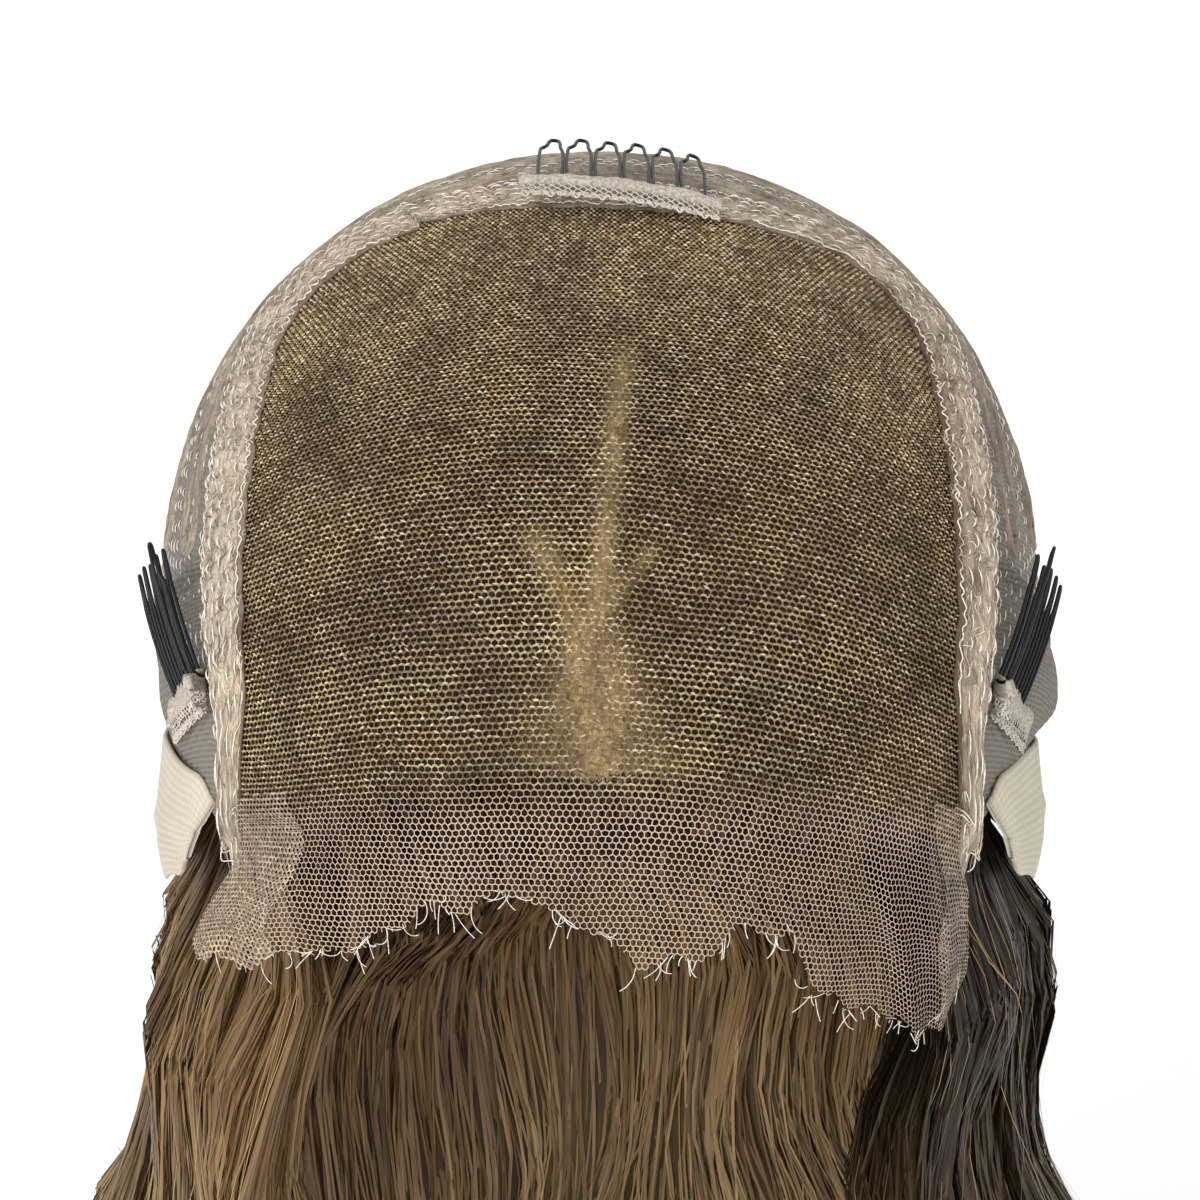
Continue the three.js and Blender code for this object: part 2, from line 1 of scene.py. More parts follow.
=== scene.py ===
"""Dresses the lace closure wig: hexagon lace, knotted hair, stitched cap, combs, elastic, hanging hair.

Shapes are worked out in millimetres in the row's frame and turned into metres as they become meshes.
"""

import bpy
import mathutils
import numpy as np
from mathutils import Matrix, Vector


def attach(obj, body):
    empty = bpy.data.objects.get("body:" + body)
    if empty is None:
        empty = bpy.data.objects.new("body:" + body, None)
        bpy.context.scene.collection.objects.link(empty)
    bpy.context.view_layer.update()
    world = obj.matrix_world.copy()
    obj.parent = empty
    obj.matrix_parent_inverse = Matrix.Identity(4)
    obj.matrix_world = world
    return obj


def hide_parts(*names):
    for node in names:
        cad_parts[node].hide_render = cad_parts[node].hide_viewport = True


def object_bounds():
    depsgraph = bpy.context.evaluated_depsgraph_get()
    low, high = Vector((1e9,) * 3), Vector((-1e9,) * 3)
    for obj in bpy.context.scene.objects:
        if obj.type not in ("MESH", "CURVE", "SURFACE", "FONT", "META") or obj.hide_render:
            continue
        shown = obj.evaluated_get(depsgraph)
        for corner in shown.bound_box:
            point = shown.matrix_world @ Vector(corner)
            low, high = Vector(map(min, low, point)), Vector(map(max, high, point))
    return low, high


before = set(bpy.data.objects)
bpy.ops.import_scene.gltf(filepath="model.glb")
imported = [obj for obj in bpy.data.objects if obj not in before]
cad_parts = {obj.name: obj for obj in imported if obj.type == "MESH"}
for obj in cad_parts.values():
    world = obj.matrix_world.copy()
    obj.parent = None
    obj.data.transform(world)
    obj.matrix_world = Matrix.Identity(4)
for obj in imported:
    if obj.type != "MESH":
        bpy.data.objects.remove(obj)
CAD_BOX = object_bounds()

bl_info = {
    "name": "Lace Closure Wig",
    "version": (1, 0, 0),
    "blender": (4, 5, 0),
    "location": "3D View > Sidebar > Wig",
    "description": "Builds the cloth, lace, stitches, combs and hair of a lace closure wig",
    "category": "Add Mesh",
}

METRES = 0.001

# The camera: degrees above the head, metres away, lens and sensor in millimetres
CAMERA_TILT = 28.0
CAMERA_DISTANCE = 0.9
CAMERA_LENS = 143.2
CAMERA_SENSOR = 36.0
# The lamps: name, place in metres, size in metres and power in watts
LAMPS = (
    ("key", (-0.9, -1.5, 1.0), 1.2, 28.0),
    ("fill", (1.3, -1.2, 0.7), 1.4, 4.5),
    ("back", (0.2, 1.3, 1.5), 1.4, 10.0),
    ("low", (-0.3, -1.5, -0.25), 0.9, 7.0),
)
ROOM_LIGHT = 0.85

# The head form, as the solids have it
HALF_WIDTH = 82.0
FRONT_DEPTH = 98.0
BACK_DEPTH = 101.0
CROWN_HEIGHT = 78.5
BELOW_HEIGHT = 128.0
ROUNDNESS = 2.12
POLE_TILT = np.radians(33)
MAP_RADIUS = (HALF_WIDTH + FRONT_DEPTH + CROWN_HEIGHT) / 3
CENTRE = np.array([0, 0, -74.2])
POLE = np.array([0, -np.sin(POLE_TILT), np.cos(POLE_TILT)])
POLE_BACK = np.array([0, np.cos(POLE_TILT), np.sin(POLE_TILT)])
ACROSS = np.array([1.0, 0, 0])

# The closure in lengths along the head from the pole
CLOSURE_HALF = 71.0
CLOSURE_BACK = 55.5
CLOSURE_CORNER = 31.0
CLOSURE_SLANT = 3.5
HAIRLINE = 70.0
SHEER_DEPTH = 50.0
SPREAD_START = 52.0
SPREAD_RATE = 0.42
FLARE_LEFT = 11.0
FLARE_RIGHT = 3.0
DRAPE_START = 7.0
DRAPE_END = 35.0
# Share of the way across the closure, and share of the sheer depth where the lace is cut
LACE_EDGE = np.array([
    (-1, 0.6), (-0.85, 0.7), (-0.55, 0.61), (-0.37, 0.46), (-0.17, 0.42), (0, 0.54), (0.08, 0.68),
    (0.2, 0.65), (0.3, 0.53), (0.42, 0.56), (0.5, 0.8), (0.82, 0.98), (0.92, 1), (1, 0.84),
])
# Length to the right, and length in front of the pole where the hairline runs
HAIRLINE_EDGE = np.array([
    (-84, 76.7), (-60, 76), (-41, 70.5), (-31, 69), (-20, 68), (-7, 70.6), (0, 71.7), (17, 70.7),
    (27, 70), (35, 71), (44, 73), (54, 76), (70, 78.5),
])

# The seam, the cap and the rim
SEAM_END = 134.5
SEAM_WIDTH = 12.5
SEAM_LAP = 2.0
SEAM_HEIGHT = 4.2
SEAM_BACK_HEIGHT = 2.2
TEMPLE = 130.0
PANEL_SHARE = 0.81
PANEL_SLANT = 0.13
NAPE_DROP = 78.0
CAP_INSET = 2.6
# Turn from the back in degrees, and share of the nape's drop at the cap's rim
RIM = np.array([
    (0, 1), (30, 0.97), (55, 0.82), (70, 0.56), (82, 0.35), (95, 0.22), (110, 0.16),
    (122, 0.17), (132, 0.19),
])

# The combs: azimuth and length from the pole, turn, tape length and width, rise of the teeth in degrees
COMBS = {
    "top": (4.7, 52.0, -4.0, 35.5, 10.5, 1.4),
    "left": (-117.0, 106.0, 109.0, 31.0, 8.5, 7.5),
    "right": (118.0, 106.0, -108.0, 31.0, 8.5, 7.5),
}
COMB_LOOPS = 6
LOOP_WIDTH = 4.5
LOOP_PITCH = 5.15
TOOTH_LENGTH = 23.0
TAPE_REST = 0.6
TAPE_WALL = 1.1
# The tapes are drawn narrower than their solids, and the combs closed up a little
TAPE_SHARE = 0.78
TOP_COMB_SHARE = 0.97
TOP_TOOTH_SHARE = 0.95
SIDE_COMB_SHARE = 0.7
SIDE_COMB_RISE = 5.0
TOP_COMB_SLANT = 0.16
TOP_COMB_SLOPE = 0.04

# Turn from the back, drop under the head's middle, height over the cloth and flare of the lower edge
BAND_COURSE = np.array([
    (0, 56, 2.2, 0.5), (45, 52, 2.4, 1), (75, 44, 3, 3), (98, 36, 3.5, 5), (112, 30, 3, 5), (125, 25, 1, 2),
])
BAND_WIDTH = 26.5
BAND_WALL = 1.4

HAIR_INSET = 8.3
HAIR_RELEASE = 48.0
HAIR_TOP_LAP = 12.0
HAIR_LENGTH = 330.0
LOCKS_PER_TURN = 9.0
END_WAVE = 14.0
# Drop under the head's middle, half width, half depth and thickness of the hanging hair
HAIR_FALL = np.array([
    (0, 75, 88, 3), (40, 77, 84, 5), (60, 79, 84, 8), (85, 83, 87, 14), (114, 90, 92, 22),
    (150, 98, 98, 26), (210, 104, 101, 25), (280, 102, 97, 20), (350, 96, 91, 12),
])


def unit(vectors):
    """Vectors divided by their lengths."""
    return vectors / np.maximum(np.linalg.norm(vectors, axis=-1, keepdims=True), 1e-9)


def smooth(low, high, value):
    """3 t squared less 2 t cubed, with t the share of the way from low to high."""
    share = np.clip((value - low) / (high - low), 0, 1)
    return share * share * (3 - 2 * share)


def table(rows, value, column=1):
    """A column of a table at a value of its first column, mixed between rows."""
    return np.interp(value, rows[:, 0], rows[:, column])


def wobble(x, y, seed, octaves=3):
    """Sums of sines across a plane, each octave twice as fine and half as high, about -1 to 1."""
    source = np.random.default_rng(seed)
    total = np.zeros(np.broadcast(x, y).shape)
    for octave in range(octaves):
        for _ in range(3):
            angle = source.uniform(0, 2 * np.pi)
            phase = source.uniform(0, 2 * np.pi)
            speed = 2.0 ** octave * source.uniform(0.7, 1.3)
            total += np.sin((x * np.cos(angle) + y * np.sin(angle)) * speed + phase) / 2 ** octave
    return total / 3.4


def head_radius(direction):
    """The distance at which the sum of the three shares, each to the power ROUNDNESS, is one."""
    depth = np.where(direction[..., 1] < 0, FRONT_DEPTH, BACK_DEPTH)
    height = np.where(direction[..., 2] < 0, BELOW_HEIGHT, CROWN_HEIGHT)
    total = (
        np.abs(direction[..., 0] / HALF_WIDTH) ** ROUNDNESS
        + np.abs(direction[..., 1] / depth) ** ROUNDNESS
        + np.abs(direction[..., 2] / height) ** ROUNDNESS
    )
    return total ** (-1 / ROUNDNESS)


def on_head(direction, height):
    """The direction times the head's radius and a height over its cloth, from the head's middle."""
    return direction * (head_radius(direction) + height)[..., None] + CENTRE


def pole_direction(azimuth, angle):
    """A direction at an azimuth from the back and an angle from the pole, both in degrees."""
    turn = np.radians(azimuth)[..., None]
    tilt = np.radians(angle)[..., None]
    side = ACROSS * np.sin(turn) + POLE_BACK * np.cos(turn)
    return POLE * np.cos(tilt) + side * np.sin(tilt)


def map_direction(right, back):
    """The direction at these lengths along the head, to the right and to the back of the pole."""
    azimuth = np.degrees(np.arctan2(right, back))
    return pole_direction(azimuth, np.degrees(np.hypot(right, back) / MAP_RADIUS))


def level_direction(turn, level):
    """The direction at a turn whose point on the head lies at a level, found by halving the tilt."""
    turn, level = np.broadcast_arrays(np.asarray(turn, float), np.asarray(level, float))
    low = np.full(turn.shape, -89.0)
    high = np.full(turn.shape, 89.0)
    flat = np.stack([np.sin(np.radians(turn)), np.cos(np.radians(turn)), np.zeros(turn.shape)], -1)
    for _ in range(30):
        tilt = np.radians((low + high) / 2)
        direction = flat * np.cos(tilt)[..., None]
        direction[..., 2] = np.sin(tilt)
        under = direction[..., 2] * head_radius(direction) < level
        low = np.where(under, (low + high) / 2, low)
        high = np.where(under, high, (low + high) / 2)
    return direction


def closure_half(back):
    """Half the closure's width: round corners behind, straight sides, spreading in front."""
    run = np.clip(back - (CLOSURE_BACK - CLOSURE_CORNER), 0, CLOSURE_CORNER)
    corner = CLOSURE_HALF - CLOSURE_CORNER + np.sqrt(CLOSURE_CORNER ** 2 - run ** 2)
    spread = CLOSURE_HALF + SPREAD_RATE * np.maximum(-back - SPREAD_START, 0)
    return np.where(run > 0, corner, spread)


def closure_edge(azimuth):
    """The angle from the pole of the closure's outline at an azimuth, found by halving the reach."""
    azimuth = np.asarray(azimuth, float)
    low = np.zeros(azimuth.shape)
    high = np.full(azimuth.shape, 2 * CLOSURE_HALF)
    for _ in range(30):
        reach = (low + high) / 2
        right = reach * np.sin(np.radians(azimuth))
        back = reach * np.cos(np.radians(azimuth))
        width = closure_half(back)
        inside = (np.abs(right) < width) & (back < CLOSURE_BACK - CLOSURE_SLANT * right / width)
        low = np.where(inside, reach, low)
        high = np.where(inside, high, reach)
    return np.degrees(low / MAP_RADIUS)


def arc(length):
    """A length along the head as an angle in degrees."""
    return np.degrees(np.asarray(length) / MAP_RADIUS)


def lace_point(right, back, height):
    """A point of the closure's lace: on the head, and below the hairline swung out and folded."""
    across = np.clip(right / closure_half(back), -1.05, 1.05)
    free = smooth(DRAPE_START, DRAPE_END, -HAIRLINE - back)
    left = FLARE_LEFT * (1 - smooth(-1, -0.5, across))
    swing = FLARE_RIGHT * smooth(0.6, 1, across)
    fold = 1.6 * np.abs(across) * np.sin(across * 17)
    pleat = 3.2 * np.exp(-((across - 0.72 + 0.0035 * (back + 95)) / 0.035) ** 2)
    pleat += 3.0 * np.exp(-((across + 0.78) / 0.045) ** 2) + 2.2 * np.exp(-((across - 0.9) / 0.03) ** 2)
    ripple = 0.9 * np.sin(back / 3.1 + across * 9) * smooth(0.1, 0.9, np.abs(across))
    point = on_head(map_direction(right, back), height)
    point[..., 0] += (swing - left) * free
    point[..., 1] -= (fold + pleat + ripple) * free
    return point


def rim_level(turn):
    """The level of the cap's lower edge under the head's widest level."""
    return -NAPE_DROP * table(RIM, np.abs(turn))


def cap_direction(round_, down, inset):
    """A direction in the cap: the great circle from the seam's edge to the rim at one azimuth."""
    azimuth = TEMPLE * round_
    top = pole_direction(azimuth, closure_edge(azimuth) + arc(inset))
    low = level_direction(azimuth, rim_level(azimuth))
    angle = np.arccos(np.clip((top * low).sum(-1), -1, 1))[..., None]
    down = np.broadcast_to(down, azimuth.shape)[..., None]
    return unit(top * np.sin((1 - down) * angle) + low * np.sin(down * angle))


def seam_height(azimuth):
    """The seam's height over the cloth, lowest behind and highest at the temples."""
    share = smooth(20, 80, np.abs(azimuth))
    return SEAM_BACK_HEIGHT + (SEAM_HEIGHT - SEAM_BACK_HEIGHT) * share


def seam_rise(direction):
    """How high the seam lifts what lies on it, falling to nothing beside it."""
    angle = np.arccos(np.clip(direction @ POLE, -1, 1))
    azimuth = np.degrees(np.arctan2(direction[..., 0], direction @ POLE_BACK))
    beyond = (angle - np.radians(closure_edge(azimuth))) * MAP_RADIUS
    edge = SEAM_WIDTH - SEAM_LAP
    return (1 - smooth(edge + 0.45, edge + 4, beyond)) * (seam_height(azimuth) + 0.8)


def seam_point(azimuth, across, height):
    """A point of the seam: a length outside the closure's edge, narrowed at the temple tips."""
    taper = np.minimum(1, 0.7 + (SEAM_END - np.abs(azimuth)) / 9)
    sway = 0.9 * np.sin(np.radians(azimuth * 33)) * (across - 0.5) + 0.5 * np.sin(np.radians(azimuth * 71))
    length = -SEAM_LAP + across * SEAM_WIDTH * taper + sway * 0.6
    return on_head(pole_direction(azimuth, closure_edge(azimuth) + arc(length)), height)


def hair_point(turn, drop, inside):
    """A point of the hanging hair: a reach from the upright middle line, less a share of its thickness."""
    rim = -rim_level(turn)
    lowest = 95
    hold = level_direction(turn, -np.minimum(drop, lowest))
    under = on_head(hold, np.full(np.shape(turn), -HAIR_INSET)) - CENTRE
    side = table(HAIR_FALL, drop)
    depth = table(HAIR_FALL, drop, 2)
    depth = np.where(np.abs(turn) > 90, depth * 0.95, depth)
    angle = np.radians(turn)
    free = 1 / np.hypot(np.sin(angle) / side, np.cos(angle) / depth)
    start = rim + HAIR_TOP_LAP / 2
    release = smooth(start, start + HAIR_RELEASE, drop)
    reach = np.hypot(under[..., 0], under[..., 1]) * (1 - release) + free * release
    growth = smooth(rim, rim + HAIR_RELEASE, drop)
    thick = table(HAIR_FALL, drop, 3) * (0.6 + 0.4 * np.abs(np.sin(angle)))
    sway = 22 * np.sin(2 * np.pi * drop / 163.2)
    locks = 0.7 * np.sin(np.radians(turn * LOCKS_PER_TURN + sway * 4))
    locks = locks + 0.3 * np.sin(np.radians(turn * 23 - sway * 7 + 40))
    wave = 6 * np.sin(2 * np.pi * drop / 96 + np.radians(turn * 2))
    reach = reach + growth * (wave + 2.6 * locks * (1 - 1.4 * inside)) - inside * thick
    flat = np.stack([np.sin(angle) * reach, np.cos(angle) * reach, -drop], -1)
    return flat + CENTRE


def put_mesh(name, points, faces, uv=None, values=None, finish=None, smooth_faces=True):
    """Makes a piece of points in millimetres and faces with one number of corners.

    uv gives a pair for each point, and values a number for each point by attribute name.
    """
    mesh = bpy.data.meshes.new(name)
    points = np.asarray(points, float).reshape(-1, 3) * METRES
    faces = np.asarray(faces, np.int32)
    corners = faces.shape[1]
    mesh.vertices.add(len(points))
    mesh.vertices.foreach_set("co", points.astype(np.float32).ravel())
    mesh.loops.add(faces.size)
    mesh.loops.foreach_set("vertex_index", faces.ravel())
    mesh.polygons.add(len(faces))
    mesh.polygons.foreach_set("loop_start", np.arange(0, faces.size, corners, dtype=np.int32))
    mesh.update(calc_edges=True)
    if uv is not None:
        layer = mesh.uv_layers.new(name="length")
        pairs = np.asarray(uv, np.float32).reshape(-1, 2)[faces.ravel()]
        layer.data.foreach_set("uv", pairs.ravel())
    for key, value in (values or {}).items():
        attribute = mesh.attributes.new(key, "FLOAT", "POINT")
        attribute.data.foreach_set("value", np.asarray(value, np.float32).ravel())
    mesh.polygons.foreach_set("use_smooth", np.full(len(faces), smooth_faces))
    mesh.materials.append(finish)
    piece = bpy.data.objects.new(name, mesh)
    bpy.context.scene.collection.objects.link(piece)
    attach(piece, "root")
    return piece


def grid_faces(rows, columns, wrap=False):
    """Four-cornered faces of a grid of points, joined round its columns if wrap is set."""
    index = np.arange(rows * columns).reshape(rows, columns)
    right = np.roll(index, -1, axis=1) if wrap else index[:, 1:]
    left = index if wrap else index[:, :-1]
    return np.stack([left[:-1], right[:-1], right[1:], left[1:]], -1).reshape(-1, 4)


def facing(points, faces, outward=True):
    """The faces, turned over if most of them look towards the head's middle."""
    flat = np.asarray(points).reshape(-1, 3)
    a, b, c = flat[faces[:, 0]], flat[faces[:, 1]], flat[faces[:, 2]]
    normal = np.cross(b - a, c - a)
    away = ((a - CENTRE) * normal).sum()
    return faces if (away > 0) == outward else faces[:, ::-1]


def shell(outer, inner):
    """One closed skin of points and faces from an outer and an inner grid of the same size."""
    rows, columns = outer.shape[:2]
    points = np.concatenate([outer.reshape(-1, 3), inner.reshape(-1, 3)])
    top = facing(outer, grid_faces(rows, columns))
    turned = (top[0] != grid_faces(rows, columns)[0]).any()
    under = top[:, ::-1] + rows * columns
    index = np.arange(rows * columns).reshape(rows, columns)
    edge = np.concatenate([index[0, :-1], index[:-1, -1], index[-1, :0:-1], index[:0:-1, 0]])
    after = np.roll(edge, -1)
    rim = np.stack([after, edge, edge + rows * columns, after + rows * columns], -1)
    if turned:
        rim = rim[:, ::-1]
    return points, np.concatenate([top, under, rim])


def tubes(paths, radius, sides=5, normal=None):
    """Round threads along many paths at once: a ring of points across each path's direction.

    paths is count by steps by 3. The rings are laid out from the outward normal at each point.
    """
    along = unit(np.gradient(paths, axis=1))
    out = unit(paths - CENTRE) if normal is None else normal
    across = unit(np.cross(along, out))
    out = np.cross(across, along)
    angle = 2 * np.pi * np.arange(sides) / sides
    radius = np.broadcast_to(radius, paths.shape[:2])[..., None, None]
    ring = across[:, :, None] * np.cos(angle)[:, None] + out[:, :, None] * np.sin(angle)[:, None]
    points = paths[:, :, None] + ring * radius
    count, steps = paths.shape[:2]
    index = np.arange(count * steps * sides).reshape(count, steps, sides)
    near, far = index, np.roll(index, -1, axis=2)
    faces = np.stack([near[:, :-1], near[:, 1:], far[:, 1:], far[:, :-1]], -1).reshape(-1, 4)
    return points.reshape(-1, 3), faces


def ribbons(paths, width, facing_out, twist=None):
    """Flat strips along many paths: two points across each path's direction, in the strip's plane."""
    along = unit(np.gradient(paths, axis=1))
    across = unit(np.cross(along, facing_out))
    if twist is not None:
        lift = np.cross(across, along)
        across = across * np.cos(twist)[..., None] + lift * np.sin(twist)[..., None]
    half = np.broadcast_to(width, paths.shape[:2])[..., None] / 2
    points = np.stack([paths - across * half, paths + across * half], 2)
    count, steps = paths.shape[:2]
    index = np.arange(count * steps * 2).reshape(count, steps, 2)
    near, far = index[:, :-1], index[:, 1:]
    faces = np.stack([near[..., 0], near[..., 1], far[..., 1], far[..., 0]], -1).reshape(-1, 4)
    return points.reshape(-1, 3), faces


class Finish:
    """A node material around one Principled shader, built up by short calls."""

    def __init__(self, name, **sockets):
        self.material = bpy.data.materials.new(name)
        self.material.use_nodes = True
        self.tree = self.material.node_tree
        self.shader = self.tree.nodes["Principled BSDF"]
        for socket, value in sockets.items():
            self.shader.inputs[socket.replace("_", " ")].default_value = value

    def node(self, kind, inputs=None, **settings):
        """A node with its settings made and its inputs set or linked."""
        made = self.tree.nodes.new(kind)
        for key, value in settings.items():
            setattr(made, key, value)
        for key, value in (inputs or {}).items():
            if isinstance(value, bpy.types.NodeSocket):
                self.tree.links.new(value, made.inputs[key])
            else:
                made.inputs[key].default_value = value
        return made

    def place(self, source="Object", scale=(1, 1, 1)):
        """Object or UV coordinates times a scale."""
        coordinate = self.node("ShaderNodeTexCoord").outputs[source]
        return self.node("ShaderNodeMapping", {"Vector": coordinate, "Scale": scale}).outputs[0]

    def noise(self, place, scale, detail=3.0, roughness=0.6):
        """Cloudy noise from 0 to 1."""
        inputs = {"Vector": place, "Scale": scale, "Detail": detail, "Roughness": roughness}
        return self.node("ShaderNodeTexNoise", inputs).outputs[0]

    def value(self, name):
        """A number stored on the piece's points."""
        return self.node("ShaderNodeAttribute", attribute_name=name).outputs["Fac"]

    def ramp(self, factor, stops):
        """Colours or greys along a factor."""
        made = self.node("ShaderNodeValToRGB", {"Fac": factor})
        elements = made.color_ramp.elements
        for number, (position, colour) in enumerate(stops):
            element = elements[number] if number < 2 else elements.new(position)
            element.position = position
            element.color = (*colour, 1) if len(colour) == 3 else colour
        return made.outputs[0]

    def mix(self, factor, first, second, blend="MIX"):
        """Two colours mixed by a factor."""
        made = self.node("ShaderNodeMix", data_type="RGBA", blend_type=blend)
        for place, value in ((0, factor), (6, first), (7, second)):
            if isinstance(value, bpy.types.NodeSocket):
                self.tree.links.new(value, made.inputs[place])
            else:
                made.inputs[place].default_value = value if place == 0 else (*value, 1)
        return made.outputs[2]

    def sum(self, first, second, operation="ADD"):
        """Two numbers added, or joined by another operation."""
        made = self.node("ShaderNodeMath", operation=operation)
        for place, value in enumerate((first, second)):
            if isinstance(value, bpy.types.NodeSocket):
                self.tree.links.new(value, made.inputs[place])
            else:
                made.inputs[place].default_value = value
        return made.outputs[0]

    def bump(self, height, strength, distance):
        """Relief from a height of 0 to 1."""
        inputs = {"Height": height, "Strength": strength, "Distance": distance}
        self.link("Normal", self.node("ShaderNodeBump", inputs).outputs[0])
        return self

    def link(self, socket, value):
        """Joins a value to one of the shader's sockets."""
        self.tree.links.new(value, self.shader.inputs[socket])
        return self


def linear(*rgb):
    """A colour of 0 to 255 as the picture shows it, as linear light."""
    share = np.array(rgb) / 255
    return tuple(np.where(share <= 0.04045, share / 12.92, ((share + 0.055) / 1.055) ** 2.4).tolist())


def lace_finish(name, warm, sheer=False):
    """Fine thread whose colour drifts over the cloth, each a little its own, paler where it is sheer."""
    made = Finish(name, Roughness=0.62, Specular_IOR_Level=0.25)
    place = made.place()
    drift = made.noise(place, 70, 4)
    own = made.value("own")
    thread = made.ramp(own, [(0, linear(*warm[0])), (0.55, linear(*warm[1])), (1, linear(*warm[2]))])
    patchy = made.ramp(drift, [
        (0.35, (0.6, 0.58, 0.53)), (0.5, (0.94, 0.93, 0.9)), (0.68, (1.25, 1.18, 1.0)),
    ])
    cloth = made.mix(1.0, thread, patchy, "MULTIPLY")
    if sheer:
        cloth = made.mix(made.value("sheer"), cloth, linear(172, 151, 134))
    made.link("Base Color", cloth)
    return made.material


def weft_finish(name, light, mid, dark, along=22, across=300):
    """Tweedy wefting: streaks along the band in light, middle and dark, with a fuzzy relief."""
    made = Finish(name, Roughness=0.85)
    place = made.place("UV", (along, across, 1))
    streak = made.noise(place, 5, 6, 0.72)
    grain = made.noise(made.place("UV", (420, 900, 1)), 2.2, 3)
    both = made.sum(made.sum(streak, 0.7, "MULTIPLY"), made.sum(grain, 0.3, "MULTIPLY"))
    cloth = made.ramp(both, [(0.3, linear(*dark)), (0.46, linear(*mid)), (0.58, linear(*light))])
    # The shade value mixes the cloth towards its dark colour: painted shadow and painted side shade on the
    # seam, random darker patches on the cap's wefts
    shade = made.value("shade")
    made.link("Base Color", made.mix(shade, cloth, linear(*dark)))
    made.bump(both, 0.7, 0.0009)
    return made.material


def cap_finish(name, light, dark):
    """Diagonal net weave: two crossed families of fine waves, with soft drifts of shade."""
    made = Finish(name, Roughness=0.8)
    wave = made.node("ShaderNodeTexWave", {
        "Vector": made.place("UV", (1, 0.35, 1)), "Scale": 560.0, "Distortion": 1.6, "Detail": 2.0,
        "Detail Scale": 2.0,
    }, bands_direction="DIAGONAL").outputs["Fac"]
    cross = made.node("ShaderNodeTexWave", {
        "Vector": made.place("UV", (-1, 0.8, 1)), "Scale": 430.0, "Distortion": 1.4, "Detail": 1.0,
    }, bands_direction="DIAGONAL").outputs["Fac"]
    weave = made.sum(made.sum(wave, 0.65, "MULTIPLY"), made.sum(cross, 0.35, "MULTIPLY"))
    drift = made.noise(made.place(), 60, 4)
    cloth = made.ramp(made.sum(made.sum(weave, 0.6, "MULTIPLY"), made.sum(drift, 0.5, "MULTIPLY")),
                      [(0.3, linear(*dark)), (0.75, linear(*light))])
    # The shade value mixes towards a dark brown: random drifts on the cap, painted shade in the ear panels'
    # groove
    made.link("Base Color", made.mix(made.value("shade"), cloth, linear(92, 78, 62)))
    made.bump(weave, 0.45, 0.0004)
    return made.material


def thread_finish(name, colour, shade):
    """Sewing thread: bright, with a twist seen as fine bands and a few greyed lengths."""
    made = Finish(name, Roughness=0.5)
    drift = made.noise(made.place(), 900, 2)
    made.link("Base Color", made.ramp(drift, [(0.3, linear(*shade)), (0.6, linear(*colour))]))
    return made.material


def hair_finish(name, root, middle, tip, gloss=0.42, shine=0.22):
    """Silky hair: colour from root to tip, each strand lighter or darker, with fine streaks."""
    made = Finish(name, Roughness=gloss, Specular_IOR_Level=shine)
    down = made.value("down")
    body = made.ramp(down, [(0, linear(*root)), (0.22, linear(*middle)), (0.75, linear(*tip))])
    own = made.ramp(made.value("own"), [
        (0, (0.34, 0.32, 0.3)), (0.45, (0.85, 0.83, 0.8)), (1, (1.55, 1.5, 1.4)),
    ])
    streak = made.noise(made.place("UV", (600, 9, 1)), 3, 3)
    fine = made.ramp(streak, [(0.3, (0.6, 0.58, 0.55)), (0.7, (1.15, 1.13, 1.1))])
    tinted = made.mix(1.0, body, own, "MULTIPLY")
    made.link("Base Color", made.mix(1.0, tinted, fine, "MULTIPLY"))
    return made.material


def wire_finish(name):
    """Black coated wire: dark blue-black with small scratches in its gloss."""
    made = Finish(name, Specular_IOR_Level=0.28)
    scratch = made.noise(made.place("Object", (1, 1, 0.3)), 1500, 3)
    made.link("Base Color", made.ramp(scratch, [(0.35, linear(7, 8, 10)), (0.75, linear(20, 22, 27))]))
    made.link("Roughness", made.ramp(scratch, [(0.3, (0.3, 0.3, 0.3)), (0.8, (0.5, 0.5, 0.5))]))
    return made.material


def elastic_finish(name):
    """Ribbed elastic: fine ribs along the band, crossed by rows of small stitches, slightly yellowed."""
    made = Finish(name, Roughness=0.75)
    place = made.place("UV")
    ribs, rows = (
        made.node("ShaderNodeTexWave", {"Vector": place, "Scale": scale}, bands_direction=way).outputs["Fac"]
        for way, scale in (("Y", 190.0), ("X", 260.0))
    )
    knit = made.sum(made.sum(ribs, 0.6, "MULTIPLY"), made.sum(rows, 0.4, "MULTIPLY"))
    drift = made.noise(made.place(), 40, 3)
    cloth = made.ramp(made.sum(made.sum(knit, 0.35, "MULTIPLY"), made.sum(drift, 0.65, "MULTIPLY")),
                      [(0.25, linear(173, 163, 145)), (0.7, linear(197, 188, 171))])
    made.link("Base Color", cloth)
    made.bump(knit, 0.35, 0.0004)
    return made.material


class LaceSettings(bpy.types.PropertyGroup):
    """Sizes of the hexagon lace."""

    pitch: bpy.props.FloatProperty(
        name="Cell Pitch", description="Distance between neighbouring cells, in millimetres",
        default=1.22, min=0.9)
    thread: bpy.props.FloatProperty(
        name="Thread Width", description="Width of a thread of the net, in millimetres",
        default=0.34, min=0.1)
    knot: bpy.props.FloatProperty(
        name="Knot Length", description="Length of a hair knot on the net, in millimetres",
        default=1.15, min=0.2)


class HairSettings(bpy.types.PropertyGroup):
    """Amounts and sizes of the hanging hair."""

    strands: bpy.props.IntProperty(
        name="Strands", description="Strands on each side of the hair", default=3100, min=100)
    width: bpy.props.FloatProperty(
        name="Strand Width", description="Width of a drawn strand, in millimetres", default=0.7, min=0.2)
    flyaways: bpy.props.IntProperty(
        name="Flyaways", description="Fine loose hairs round the outside", default=240, min=0)


